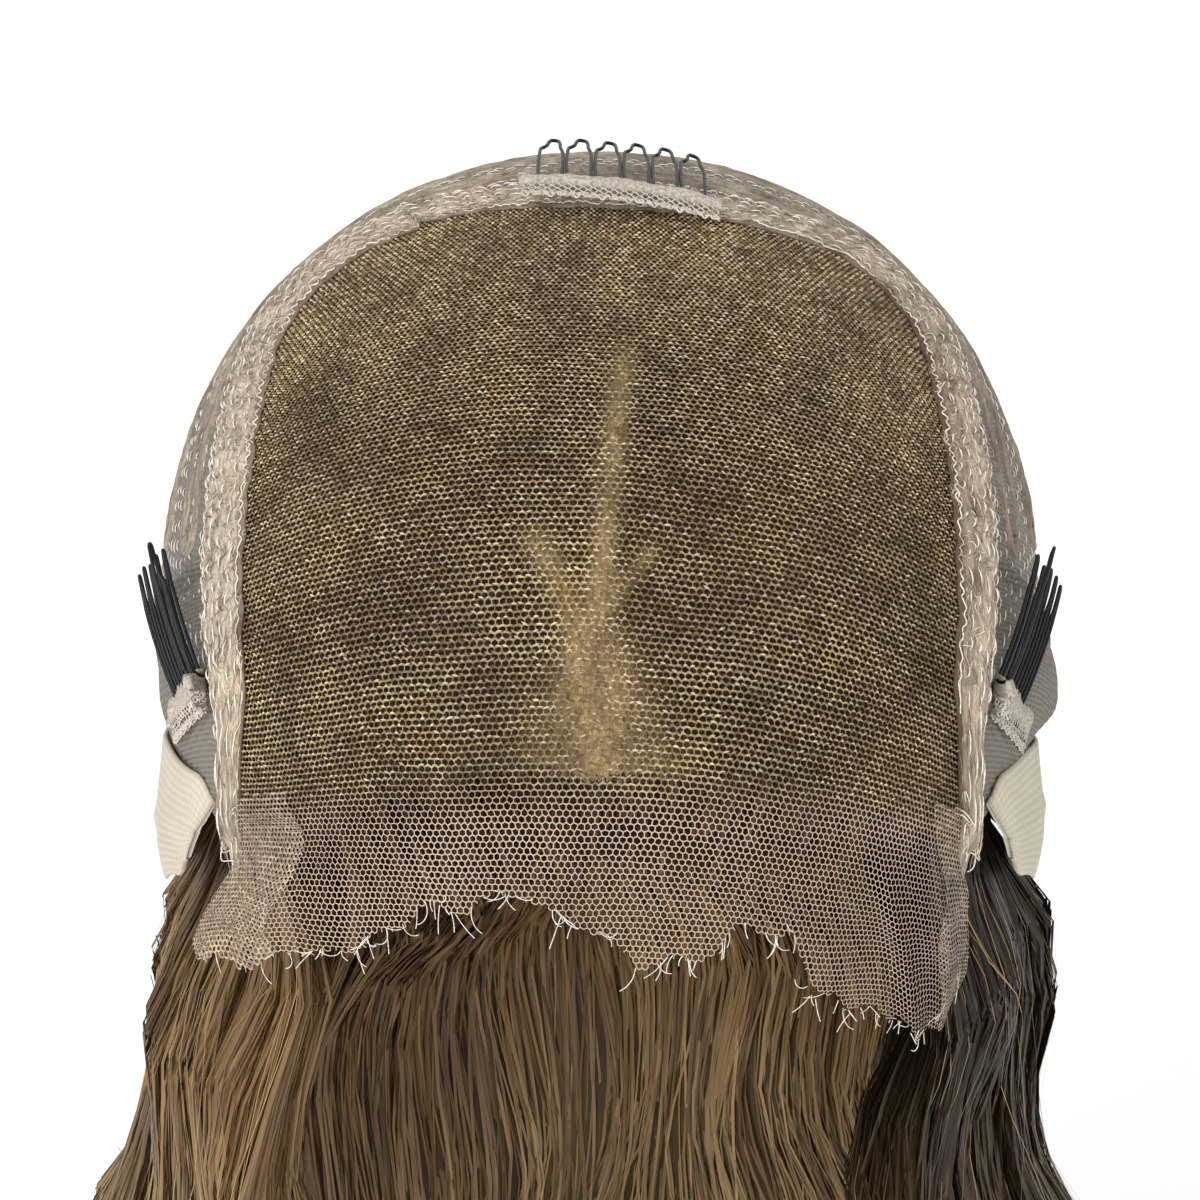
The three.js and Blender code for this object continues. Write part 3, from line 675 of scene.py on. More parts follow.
class StitchSettings(bpy.types.PropertyGroup):
    """Sizes of the sewing."""

    dash: bpy.props.FloatProperty(
        name="Stitch Length", description="Length of one visible stitch, in millimetres", default=3.4, min=1)
    gap: bpy.props.FloatProperty(
        name="Stitch Gap", description="Gap between stitches, in millimetres", default=1.5, min=0.2)
    thread: bpy.props.FloatProperty(
        name="Thread Radius", description="Radius of the sewing thread, in millimetres",
        default=0.2, min=0.05)


def net_corners(pitch, seed):
    """The corners of a hexagon net in lengths along the head, every cell giving a top and a bottom one.

    Cell centres stand a pitch apart in rows 0.866 of a pitch apart, every other row moved by half a
    pitch. The rows then drift and slope, and every corner is nudged, as stretched lace has them.
    """
    rise = pitch * np.sqrt(0.75)
    row, column = np.meshgrid(np.arange(int(212 / rise)), np.arange(int(236 / pitch)), indexing="ij")
    x = (column - column.max() / 2 + (row % 2) / 2) * pitch
    y = (row - row.max() * 0.66) * rise
    lift = pitch / np.sqrt(3)
    corners = np.stack([np.stack([x, y + lift], -1), np.stack([x, y - lift], -1)])
    source = np.random.default_rng(seed)
    corners += source.normal(0, pitch * 0.05, corners.shape)
    x, y = corners[..., 0].copy(), corners[..., 1].copy()
    corners[..., 1] += 2.6 * np.sin(x / 39 + 0.9) - 0.08 * x + 0.5 * wobble(x / 13, y / 13, seed)
    corners[..., 0] += 0.5 * wobble(x / 16, y / 10, seed + 1)
    return corners, row, column


def net_mesh(pitch, keep, width, height, seed):
    """The net as flat threads: three points round each corner, and a strip along each thread.

    A top corner's threads run to the lower right, lower left and straight up, so its three points stand
    at 30, 150 and 270 degrees, and a bottom corner's at 90, 210 and 330. A strip takes the two points
    on either side of it at both ends. keep, width and height are functions of the lengths.
    """
    corners, row, column = net_corners(pitch, seed)
    rows, columns = row.shape
    reach = width(corners[..., 0], corners[..., 1])[..., None, None] / np.sqrt(3)
    angles = np.radians([[30, 150, 270], [90, 210, 330]])[:, None, None, :]
    star = np.stack([np.cos(angles), np.sin(angles)], -1)
    # Behind the hairline the knotted hair pulls the upright threads thin and the rows thick
    knotted = smooth(-78, -70, corners[..., 1])[..., None]
    squeeze = np.stack([0.9 - 0.36 * knotted, 1 + 0.3 * knotted], -1)
    flat = corners[..., None, :] + reach * star * squeeze
    kept = keep(corners[..., 0], corners[..., 1])
    index = np.arange(flat[..., 0].size).reshape(flat.shape[:-1])
    top, low = index[0], index[1]
    odd = row % 2
    upper = np.minimum(row + 1, rows - 1)
    twice = np.minimum(row + 2, rows - 1)
    right = np.minimum(column + odd, columns - 1)
    left = np.maximum(column + odd - 1, 0)
    valid = kept[0] & (row < rows - 2) & (column > 0) & (column < columns - 1)
    to_right = valid & kept[1][upper, right]
    to_left = valid & kept[1][upper, left]
    to_up = valid & kept[1][twice, column]
    low_right, low_left, low_up = low[upper, right], low[upper, left], low[twice, column]
    strips = np.concatenate([
        np.stack([top[..., 2], low_right[..., 1], low_right[..., 0], top[..., 0]], -1)[to_right],
        np.stack([low_left[..., 2], top[..., 2], top[..., 1], low_left[..., 0]], -1)[to_left],
        np.stack([top[..., 1], top[..., 0], low_up[..., 2], low_up[..., 1]], -1)[to_up],
    ])
    joints = np.concatenate([top[kept[0]], low[kept[1]]])
    faces = np.concatenate([strips[:, [0, 1, 2]], strips[:, [0, 2, 3]], joints])
    used, faces = np.unique(faces, return_inverse=True)
    flat = flat.reshape(-1, 2)[used]
    points = lace_point(flat[:, 0], flat[:, 1], height(flat[:, 0], flat[:, 1]))
    source = np.random.default_rng(seed + 5)
    own = np.repeat(source.uniform(0, 1, index.shape[:-1]).ravel(), 3)[used]
    return points, faces.reshape(-1, 3), own, corners[:, kept.any(0)], kept[:, kept.any(0)]


def lace_front(right, back):
    """The map length of the lace's ragged front edge at a place."""
    across = np.clip(right / closure_half(back), -1, 1)
    ragged = 0.9 * np.sin(right / 1.9) + 1.3 * wobble(right / 3.1, right * 0 + 2, 31)
    return -HAIRLINE - SHEER_DEPTH * table(LACE_EDGE, across) + ragged


def hair_edge(right):
    """The map length of the hairline, where the knotted hair stops."""
    return -table(HAIRLINE_EDGE, right)


def in_lace(right, back):
    """True inside the closure's outline and behind its ragged front edge."""
    half = closure_half(back)
    inside = (np.abs(right) < half + 1) & (back < CLOSURE_BACK + 1 - CLOSURE_SLANT * right / half)
    ragged_side = 0.8 * wobble(back / 2.5, back * 0 + np.sign(right), 33) * (back < -HAIRLINE)
    return inside & (np.abs(right) < half + ragged_side) & (back > lace_front(right, back))


def parting(right, back):
    """How light the hair under the lace is, from 0 to 1: a thin line that forks and widens to the front."""
    middle = np.interp(back, [-72, -54, -36, -25, -12, 5], [0, -0.8, 0.6, 1.3, 2.9, 4.6])
    width = np.interp(back, [-74, -66, -57, -46, -36, -12, 6], [12, 9.5, 6.5, 2.6, 1.7, 1.9, 2.2])
    main = np.exp(-((right - middle) / width) ** 2) * smooth(10, -6, back)
    fork_middle = np.interp(back, [-58, -50, -41, -33], [-1.5, -3.4, -6.4, -10.8])
    fork = 0.75 * np.exp(-((right - fork_middle) / 2.3) ** 2)
    fork = fork * smooth(-29, -36, back) * smooth(-62, -50, back)
    twig_middle = np.interp(back, [-44, -36], [2, 8])
    twig = 0.5 * np.exp(-((right - twig_middle) / 1.6) ** 2)
    twig = twig * smooth(-33, -37, back) * smooth(-46, -42, back)
    return np.clip(main + fork + twig, 0, 1)


class WIG_OT_lace(bpy.types.Operator):
    """Hexagon lace of the closure, with a knot of hair in each cell behind the hairline."""

    bl_idname = "wig.lace"
    bl_label = "Lace"

    def execute(self, context):
        sizes = context.scene.wig_lace
        finish = lace_finish("lace_thread", ((90, 76, 56), (130, 114, 89), (166, 151, 126)), True)

        def thread(right, back):
            sheer = smooth(2, -6, back - hair_edge(right))
            return sizes.thread * (0.84 - 0.24 * sheer) * (1 + 0.2 * wobble(right / 5, back / 5, 8))

        points, faces, own, corners, kept = net_mesh(
            sizes.pitch, in_lace, thread, lambda right, back: np.zeros(right.shape), 4)
        sheer = np.clip(-70 - self.lengths(points), 0, 8) / 8
        net = put_mesh("lace_net", points, faces, values={"own": own, "sheer": sheer},
                       finish=finish, smooth_faces=False)
        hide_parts("lace_closure")
        # The threads cover about a third of the cut, and the open cells aren't cloth
        self.knots(corners, kept, sizes)
        self.folded_edges(sizes)
        return {"FINISHED"}

    def lengths(self, points):
        """The map length to the back of the pole, found from places on the head."""
        direction = unit(points - CENTRE)
        angle = np.arccos(np.clip(direction @ POLE, -1, 1))
        return MAP_RADIUS * angle * np.cos(np.arctan2(direction[:, 0], direction @ POLE_BACK))

    def knots(self, corners, kept, sizes):
        """A low four-sided peak at each top corner, lengthened along the hair's direction."""
        places = corners[0][kept[0]]
        source = np.random.default_rng(12)
        thinning = source.uniform(0, 5, len(places)) ** 1.5
        places = places[places[:, 1] > hair_edge(places[:, 0]) - 0.5 + thinning * 0.4]
        count = len(places)
        angle = np.radians(source.normal(-7, 17, count))
        long = sizes.knot * source.uniform(0.55, 1.2, count) / 2
        thin = sizes.knot * source.uniform(0.2, 0.4, count) / 2
        along = np.stack([np.cos(angle), np.sin(angle)], -1)
        side = np.stack([-along[:, 1], along[:, 0]], -1)
        ring = np.stack([along * long[:, None], side * thin[:, None], -along * long[:, None],
                         -side * thin[:, None], along * 0], 1) + places[:, None]
        height = np.array([0.1, 0.1, 0.1, 0.1, 0.42])
        points = lace_point(ring[..., 0], ring[..., 1], np.broadcast_to(height, ring.shape[:2]))
        base = np.arange(count)[:, None] * 5
        faces = np.concatenate([base + np.array([a, (a + 1) % 4, 4]) for a in range(4)])
        own = np.repeat(source.uniform(0, 1, count), 5)
        finish = lace_finish("hair_knot", ((102, 84, 54), (162, 143, 108), (204, 192, 168)))
        put_mesh("lace_knots", points, faces, values={"own": own}, finish=finish)

    def folded_edges(self, sizes):
        """A second layer of net where both side edges of the sheer lace are folded back on themselves."""
        def in_fold(right, back):
            across = right / closure_half(back)
            left = (across < -0.74 - 0.03 * np.sin(back / 4)) & (back < -70)
            pleat = (across > 0.87 + 0.02 * np.sin(back / 5)) & (back < -72)
            return in_lace(right, back) & (left | pleat)

        finish = lace_finish("lace_fold_thread", ((118, 103, 90), (152, 137, 122), (178, 165, 150)))
        points, faces, own, _, _ = net_mesh(
            sizes.pitch * 0.93, in_fold, lambda right, back: np.full(right.shape, sizes.thread * 0.95),
            lambda right, back: 0.9 + 0.4 * np.sin(back / 3), 9)
        fold = put_mesh("lace_folds", points, faces, values={"own": own}, finish=finish,
                        smooth_faces=False)


class WIG_OT_closure_hair(bpy.types.Operator):
    """Hair tied into the lace, lying under it, with its parting and the fine hairs of the hairline."""

    bl_idname = "wig.closure_hair"
    bl_label = "Closure Hair"

    def execute(self, context):
        columns, rows = 110, 90
        across = np.linspace(-0.985, 0.985, columns)[None, :]
        down = np.linspace(0, 1, rows)[:, None]
        start = CLOSURE_BACK - 1 - CLOSURE_SLANT * across
        right = across * CLOSURE_HALF
        for _ in range(4):
            back = start + (hair_edge(right) - 0.4 * np.sin(right * 2.1) - start) * down
            right = across * closure_half(back)
        top = lace_point(right, back, -1.0 + 0.25 * wobble(right / 3, back / 3, 6))
        low = lace_point(right, back, np.full(right.shape, -3.6))
        points, faces = shell(top, low)
        light = parting(right, back) * np.clip(0.82 + 0.4 * wobble(right / 1.7, back / 4, 13), 0, 1)
        drift = 0.5 + 0.5 * wobble(right / 9, back / 9, 14)
        values = {"parting": np.tile(light.ravel(), 2), "drift": np.tile(drift.ravel(), 2)}
        uv = np.tile(np.stack([right, back], -1).reshape(-1, 2) * METRES, (2, 1))
        made = Finish("closure_hair_base", Roughness=0.8, Specular_IOR_Level=0.05)
        streak = made.noise(made.place("UV", (900, 260, 1)), 1.6, 5, 0.7)
        # The near-black colours of the hair under the lace are painted shade in the net's open cells, over the
        # hair's own brown
        dark = made.ramp(streak, [
            (0.3, linear(12, 9, 6)), (0.5, linear(30, 23, 15)), (0.72, linear(74, 57, 35)),
        ])
        gold = made.ramp(streak, [(0.3, linear(106, 82, 48)), (0.7, linear(204, 174, 124))])
        shade = made.sum(made.value("drift"), 0.16, "MULTIPLY")
        mixed = made.mix(shade, dark, linear(96, 74, 42))
        made.link("Base Color", made.mix(made.value("parting"), mixed, gold))
        made.bump(streak, 0.5, 0.0005)
        base = put_mesh("closure_hair_base", points, faces, uv=uv, values=values,
                        finish=made.material)
        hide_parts("closure_hair")
        self.fine_hairs()
        return {"FINISHED"}

    def fine_hairs(self):
        """Short curved hairs that lie under the sheer lace in front of the hairline."""
        source = np.random.default_rng(77)
        count, steps = 700, 7
        root = source.uniform(-66, 66, count)[:, None]
        along = np.linspace(0, 1, steps)[None, :]
        length = source.uniform(2, 11, count)[:, None] * (0.4 + 0.6 * smooth(8, 40, np.abs(root)))
        lean = np.radians(source.normal(0, 38, count))[:, None]
        bend = source.normal(0, 1.1, count)[:, None]
        angle = lean + bend * along
        right = root + np.cumsum(np.sin(angle) * length / steps, axis=1)
        back = hair_edge(root) + 1.5 - np.cumsum(np.cos(angle) * length / steps, axis=1)
        paths = lace_point(right, back, np.full(right.shape, -1.0) + 0.5 * along)
        width = 0.2 * (1 - 0.7 * along) * np.ones((count, 1))
        points, faces = ribbons(paths, width, unit(paths - CENTRE))
        own = np.repeat(source.uniform(0, 1, count), steps * 2)
        down = np.tile(np.repeat(along[0], 2), count)
        finish = hair_finish("hairline_hair", (26, 19, 12), (40, 30, 19), (62, 48, 31))
        put_mesh("hairline_hairs", points, faces, values={"own": own, "down": down},
                 finish=finish)


def seam_arch(azimuth, across):
    """The seam's low arch from 0 to 1 and its height without any relief."""
    share = np.clip(across, 0, 1)
    arch = smooth(-0.06, 0.62, share) * (1 - 0.75 * smooth(0.62, 1.0, share))
    return arch, 0.5 + (0.7 * seam_height(azimuth) - 0.2) * arch


def seam_top(azimuth, across):
    """The height of the seam's upper side: a low arch, flattened on top, with tracks, puckers and fluff."""
    arch, level = seam_arch(azimuth, across)
    run = azimuth * 1.55
    tracks = 0.3 * np.abs(np.sin(np.pi * across * 6 + 0.6 * np.sin(run / 5))) ** 0.7
    pucker = 0.3 * np.sin(run / 1.9 + 2.2 * across) + 0.4 * wobble(run / 2.2, across * 5, 21)
    fluff = 0.3 * wobble(run * 2.3, across * 17, 22)
    return level + (tracks + pucker + fluff) * (0.3 + 0.7 * arch)


class WIG_OT_seam(bpy.types.Operator):
    """The tweedy band of wefting sewn over the closure's edge, with short fuzzy fibres along it."""

    bl_idname = "wig.seam"
    bl_label = "Closure Seam"

    def execute(self, context):
        columns, rows = 620, 14
        azimuth = np.linspace(-SEAM_END, SEAM_END, columns)[None, :] + np.zeros((rows, 1))
        across = np.linspace(0, 1, rows)[:, None] + np.zeros((1, columns))
        end = smooth(SEAM_END, SEAM_END - 2.5, np.abs(azimuth))
        outer = seam_point(azimuth, across, 0.3 + (seam_top(azimuth, across) - 0.3) * end)
        inner = seam_point(azimuth, across, np.full(azimuth.shape, 0.15))
        points, faces = shell(outer, inner)
        uv = np.stack([np.radians(azimuth) * 0.075, across * 0.0125], -1).reshape(-1, 2)
        # Painted shadow along the seam's inner edge, where it meets the lace
        edge = 0.7 * (1 - smooth(0.06, 0.16, across))
        patches = np.clip(wobble(azimuth / 1.3, across * 8, 26) - 0.15, 0, 1)
        # Brown patches of the weft, weighted up on the right-hand side as painted shade on the side away from
        # the key lamp
        brown = (0.35 + 0.4 * smooth(-40, 30, azimuth)) * patches
        # Painted shade over the inner third of the seam on its right-hand side
        right_painted_shade = 0.45 * smooth(40, 70, azimuth) * (1 - smooth(0.3, 0.42, across))
        # The shade value sums the painted shadow, the brown weft patches and the painted side shade
        shade = np.clip(edge + brown + right_painted_shade, 0, 1).ravel()
        finish = weft_finish("weft", (206, 195, 178), (168, 154, 135), (88, 71, 53))
        seam = put_mesh("seam_weft", points, faces, uv=np.tile(uv, (2, 1)),
                        values={"shade": np.tile(shade, 2)}, finish=finish)
        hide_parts("closure_seam")
        self.fibres()
        return {"FINISHED"}

    def fibres(self):
        """Short fuzzy ends of the wefting that lie along the band, from dark brown to cream."""
        source = np.random.default_rng(63)
        count, steps = 6000, 4
        share = np.linspace(-0.5, 0.5, steps)[None, :]
        azimuth = source.uniform(-SEAM_END + 1, SEAM_END - 1, count)[:, None]
        across = source.uniform(0.0, 1, count)[:, None]
        length = source.uniform(0.9, 3.6, count)[:, None]
        lean = np.radians(source.normal(0, 30, count))[:, None]
        lean = lean + source.normal(0, 0.8, count)[:, None] * share
        turn = azimuth + length * share * np.cos(lean) / 1.55
        side = np.clip(across + length * share * np.sin(lean) / SEAM_WIDTH, -0.05, 1.04)
        lift = 0.16 + 0.34 * source.uniform(0, 1, count)[:, None] * np.cos(np.pi * share)
        paths = seam_point(turn, side, seam_top(turn, side) + lift)
        width = source.uniform(0.1, 0.24, count)[:, None] * np.cos(np.pi * share * 0.9)
        twist = source.normal(0, 0.5, count)[:, None] + 0 * share
        points, faces = ribbons(paths, width, unit(paths - CENTRE), twist)
        own = np.repeat(source.beta(1.3, 1.1, count), steps * 2)
        finish = lace_finish("weft_fibre", ((84, 66, 47), (160, 145, 124), (218, 208, 193)))
        put_mesh("seam_fibres", points, faces, values={"own": own}, finish=finish)


def cap_lift(azimuth, offset):
    """The height of the cap's cloth: soft puckers that fade away from the seam, and shallow folds."""
    run = azimuth * 1.6
    near = np.exp(-offset / 14)
    small = 0.13 * wobble(run / 4, offset / 5, 41) + 0.12 * near * np.sin(run / 2.3)
    return small + 0.3 * wobble(run / 14, offset / 16, 42)


# Lengths of the wefts from the closure's edge, sewn in pairs
WEFT_OFFSETS = (16.5, 22, 34, 39.5, 51.5, 57, 69, 74.5, 86.5, 92, 104, 109.5)


def weft_paths():
    """Azimuth and offset along the wefts: rows in pairs, each pair joined by a U-turn at both ends."""
    loops = []
    for number in range(0, len(WEFT_OFFSETS), 2):
        near, far = WEFT_OFFSETS[number], WEFT_OFFSETS[number + 1]
        reach = np.interp(near, [9, 30, 60, 100], [98, 92, 60, 44])
        sweep = np.linspace(-1, 1, 180)
        turn = np.linspace(-np.pi / 2, np.pi / 2, 14)
        bulge = 3.4
        there = np.stack([sweep * reach, np.full(sweep.size, near)], -1)
        back = np.stack([-sweep * reach, np.full(sweep.size, far)], -1)
        middle, half = (near + far) / 2, (far - near) / 2
        right = np.stack([reach + bulge * np.cos(turn), middle + half * np.sin(turn)], -1)
        left = np.stack([-reach - bulge * np.cos(turn), middle - half * np.sin(turn)], -1)
        loops.append(np.concatenate([there, right, back, left]))
    return loops


def cap_point(azimuth, offset, height):
    """A point on the cap at an azimuth and a length outside the closure's edge."""
    angle = closure_edge(azimuth) + arc(CAP_INSET + offset)
    return on_head(pole_direction(azimuth, angle), height + cap_lift(azimuth, offset))


def over_cap(points, margin):
    """True where points lie above the cap's rim by a margin."""
    flat = points - CENTRE
    turn = np.degrees(np.arctan2(flat[..., 0], flat[..., 1]))
    return flat[..., 2] > rim_level(turn) + margin


class WIG_OT_cap(bpy.types.Operator):
    """The stretch net of the cap, the wefts sewn to it in loops, and the rib-knit panels by the ears."""

    bl_idname = "wig.cap"
    bl_label = "Cap"

    def execute(self, context):
        columns, rows = 180, 40
        down = np.linspace(0, 1, rows)[:, None] + np.zeros((1, columns))
        reach = PANEL_SHARE - PANEL_SLANT * down
        round_ = np.linspace(-1, 1, columns)[None, :] * reach
        direction = cap_direction(round_, down, CAP_INSET)
        azimuth = np.degrees(np.arctan2(direction[..., 0], direction @ POLE_BACK))
        angle = np.degrees(np.arccos(np.clip(direction @ POLE, -1, 1)))
        offset = np.radians(angle - closure_edge(azimuth)) * MAP_RADIUS
        outer = on_head(direction, cap_lift(azimuth, offset - CAP_INSET))
        inner = on_head(direction, cap_lift(azimuth, offset - CAP_INSET) * 0.3 - 1.3)
        points, faces = shell(outer, inner)
        uv = np.tile(np.stack([np.radians(azimuth) * 0.08, offset * METRES], -1).reshape(-1, 2), (2, 1))
        shade = np.tile((0.35 * np.clip(wobble(azimuth / 6, offset / 6, 44) - 0.2, 0, 1)).ravel(), 2)
        finish = cap_finish("cap_net", (130, 123, 114), (95, 88, 79))
        cap = put_mesh("cap_cloth", points, faces, uv=uv, values={"shade": shade},
                       finish=finish)
        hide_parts("crown_cap")
        self.wefts()
        for side, name in ((-1, "left"), (1, "right")):
            self.ear_panel(side, name)
        return {"FINISHED"}

    def wefts(self):
        """Raised tweedy ribbons along the loops: a low arch across each path, lying on the cloth."""
        finish = weft_finish("cap_weft", (168, 157, 142), (134, 121, 104), (74, 58, 41), along=30)
        width, across = 2.7, np.linspace(-1, 1, 7)
        parts, all_faces, uvs, total = [], [], [], 0
        for number, loop in enumerate(weft_paths()):
            count = len(loop)
            middle = cap_point(loop[:, 0], loop[:, 1], np.zeros(count))
            out = unit(middle - CENTRE)
            along = unit(np.roll(middle, -1, 0) - np.roll(middle, 1, 0))
            side = np.cross(along, out)
            ripple = 0.25 * np.sin(np.arange(count) / 2.1 + number)
            rough = 0.3 * wobble(np.arange(count)[:, None] / 1.2, across[None, :] * 3, 50 + number)
            lift = 1.25 * np.sqrt(np.clip(1 - across ** 2, 0, 1))[None, :] - 0.5 + rough * 0.6
            aside = (across * width / 2)[None, :, None] + ripple[:, None, None]
            strip = middle[:, None] + side[:, None] * aside
            strip = strip + out[:, None] * lift[..., None]
            inside = over_cap(strip, 4).all(1)
            good = inside & np.roll(inside, -1)
            faces = grid_faces(count + 1, 7)
            faces = np.where(faces >= count * 7, faces - count * 7, faces)
            faces = faces.reshape(count, 6, 4)[good].reshape(-1, 4)
            parts.append(strip.reshape(-1, 3))
            all_faces.append(faces + total)
            total += count * 7
            length = np.cumsum(np.linalg.norm(np.diff(middle, axis=0, prepend=middle[:1]), axis=1)) * METRES
            flat = np.broadcast_arrays(length[:, None], (across * width / 2 * METRES)[None, :])
            uvs.append(np.stack(flat, -1).reshape(-1, 2))
        points = np.concatenate(parts)
        faces = facing(points, np.concatenate(all_faces))
        shade = 0.12 + 0.4 * wobble(points[:, 0] / 3, points[:, 2] / 3, 61)
        wefts = put_mesh("cap_wefts", points, faces, uv=np.concatenate(uvs),
                         values={"shade": np.clip(shade, 0, 1)}, finish=finish)

    def ear_panel(self, side, name):
        """Rib-knit cloth between the cap and the temple end of the seam, bulging as a tab on the right."""
        columns, rows = 100, 44
        share = np.linspace(0, 1, columns)[None, :] + np.zeros((rows, 1))
        hem = 1 + 0.2 * smooth(0, 0.25, share) * smooth(1, 0.6, share)
        down = np.linspace(0, 1, rows)[:, None] * hem
        start = PANEL_SHARE - PANEL_SLANT * np.minimum(down, 1) + 0.004
        direction = cap_direction(side * (start + (1 - start) * share), down, CAP_INSET)
        ribs = 0.14 * np.sin(2 * np.pi * share * 22) + 0.3 * wobble(share * 5, down * 4, 71)
        edge = 0.9 * np.exp(-(share / 0.03) ** 2) - 0.9 * np.exp(-((share - 0.06) / 0.025) ** 2)
        tab = 4.5 if side > 0 else 1.2
        bulge = tab * np.exp(-((share - 0.3) / 0.28) ** 2) * smooth(0.35, 0.8, down) * smooth(1.1, 0.9, down)
        outer = on_head(direction, 0.1 + ribs + edge + bulge)
        inner = on_head(direction, bulge * 0.9 - 1.4)
        points, faces = shell(outer, inner)
        uv = np.tile(np.stack([share * 0.045, down * 0.05], -1).reshape(-1, 2), (2, 1))
        finish = cap_finish("rib_knit_" + name, (122, 115, 106), (96, 89, 80))
        # Painted shade: a dark stripe in the groove just inside the raised edge where the panel meets the cap
        shade = np.tile(np.clip(0.5 * np.exp(-((share - 0.075) / 0.02) ** 2), 0, 1).ravel(), 2)
        panel = put_mesh("ear_panel_cloth_" + name, points, faces, uv=uv, values={"shade": shade},
                         finish=finish)
        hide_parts("ear_panel_" + name)


def dashes(starts, ends, surface, steps=4, bulge=0.3, wave=0.0, seed=0):
    """Paths of single stitches: straight over the surface, risen in the middle and let in at both ends."""
    share = np.linspace(0, 1, steps)[None, :]
    first = starts[:, 0, None] + (ends[:, 0] - starts[:, 0])[:, None] * share
    second = starts[:, 1, None] + (ends[:, 1] - starts[:, 1])[:, None] * share
    source = np.random.default_rng(seed)
    bow = source.normal(0, 1, len(starts))[:, None] * wave
    second = second + bow * np.sin(np.pi * share)
    lift = bulge * np.sin(np.pi * share) ** 0.5 - 0.08
    return surface(first, second, lift)


class WIG_OT_stitches(bpy.types.Operator):
    """White machine stitches: rows over the seam and the cap, and a zigzag along the closure's edge."""

    bl_idname = "wig.stitches"
    bl_label = "Stitches"

    def execute(self, context):
        sizes = context.scene.wig_stitches
        finish = thread_finish("sewing_thread", (228, 221, 210), (188, 178, 164))
        source = np.random.default_rng(5)
        sets = []
        for number, across in enumerate((0.2, 0.34, 0.47, 0.6, 0.73, 0.86, 0.97)):
            starts, ends = self.row(source, -SEAM_END + 2, SEAM_END - 2, across, 1 / 1.75, 0.035, sizes)
            sets.append(dashes(starts, ends, self.on_seam, bulge=0.3, wave=0.012, seed=80 + number))
        for number, offset in enumerate(np.arange(10.2, 118, 2.75)):
            reach = np.interp(offset, [10, 30, 60, 110], [118, 112, 96, 84])
            starts, ends = self.row(source, -reach, reach, offset, 1 / 1.7, 0.16, sizes)
            paths = dashes(starts, ends, cap_point, bulge=0.22, wave=0.08, seed=120 + number)
            sets.append(paths[over_cap(paths, 3).all(1)])
        paths = np.concatenate(sets)
        # A stitch has three sides and draws in where it enters the cloth
        points, faces = tubes(paths, sizes.thread * np.array([0.25, 0.8, 0.8, 0.25]), 3)
        put_mesh("stitch_rows", points, faces, finish=finish)
        self.zigzag(finish, sizes)
        self.loose_threads(finish)
        return {"FINISHED"}

    def row(self, source, first, last, second, rate, drift, sizes):
        """Starts and ends of the stitches in one row, as pairs of azimuth and second length."""
        pitch = (sizes.dash + sizes.gap) * rate
        start = np.arange(first, last, pitch)
        start = start + source.normal(0, pitch * 0.1, len(start))
        end = start + sizes.dash * rate * source.uniform(0.7, 1.15, len(start))
        level = second + drift * source.normal(0, 0.5, len(start)) + drift * np.sin(start / 9)
        other = level + drift * source.normal(0, 0.6, len(start))
        keep = source.uniform(0, 1, len(start)) > 0.06
        return np.stack([start, level], -1)[keep], np.stack([end, other], -1)[keep]

    def on_seam(self, azimuth, across, lift):
        """A point drawn tight over the seam's upper side."""
        arch, level = seam_arch(azimuth, across)
        return seam_point(azimuth, across, level + 0.15 + 0.6 * arch + lift)

    def zigzag(self, finish, sizes):
        """One thread that swings in and out along the inner edge of the seam."""
        steps = 34
        pieces = 62
        azimuth = np.linspace(-SEAM_END + 3, SEAM_END - 3, pieces * steps).reshape(pieces, steps)
        azimuth = np.concatenate([azimuth, np.roll(azimuth[:, 0], -1)[:, None]], 1)[:-1]
        size = 0.6 + 0.5 * wobble(azimuth / 7, azimuth * 0, 91)
        swing = 0.034 * size * np.sin(azimuth * 3.4 + np.sin(azimuth / 3))
        swing = swing + 0.022 * wobble(azimuth, azimuth * 0, 90)
        under = 0.3 * smooth(0.1, -0.5, wobble(azimuth / 5, azimuth * 0, 92))
        paths = seam_point(azimuth, 0.07 + swing, seam_top(azimuth, 0.07 + swing) + 0.2 - under)
        points, faces = tubes(paths, sizes.thread * 0.8, 4)
        put_mesh("edge_zigzag", points, faces, finish=finish)

    def loose_threads(self, finish):
        """Threads that hang from the seam's temple ends and fray from the lace's front edge."""
        source = np.random.default_rng(15)
        count, steps = 120, 10
        share = np.linspace(0, 1, steps)[None, :]
        right = source.uniform(-100, 100, count)[:, None]
        front = lace_front(right, np.full(right.shape, -100.0))
        half = closure_half(front)
        keep = (np.abs(right) < half).ravel()
        right, front = right[keep], front[keep]
        count = len(right)
        length = source.uniform(1, 6, count)[:, None]
        lean = source.normal(0, 0.7, count)[:, None] + source.normal(0, 1.2, count)[:, None] * share
        x = right + np.cumsum(np.sin(lean), 1) * length / steps
        y = front + 1 - np.cumsum(np.cos(lean), 1) * length / steps
        frayed = lace_point(x, y, np.full(x.shape, 0.1) + source.uniform(-1, 2, count)[:, None] * share)
        tips, loose = [], 14
        for side in (-1, 1):
            turn = side * (SEAM_END + share * source.uniform(0, 3, loose)[:, None] - 3)
            across = source.uniform(0.1, 0.9, loose)[:, None]
            across = across + 0.35 * np.sin(share * source.uniform(2, 7, loose)[:, None])
            lift = source.uniform(0.3, 2, loose)[:, None] * np.sin(np.pi * share) + 1
            tips.append(seam_point(turn, across, lift))
        thread = ((frayed, 0.09, "lace_fray"), (np.concatenate(tips), 0.13, "seam_tip_threads"))
        for paths, radius, name in thread:
            points, faces = tubes(paths, radius, 4)
            put_mesh(name, points, faces, finish=finish)


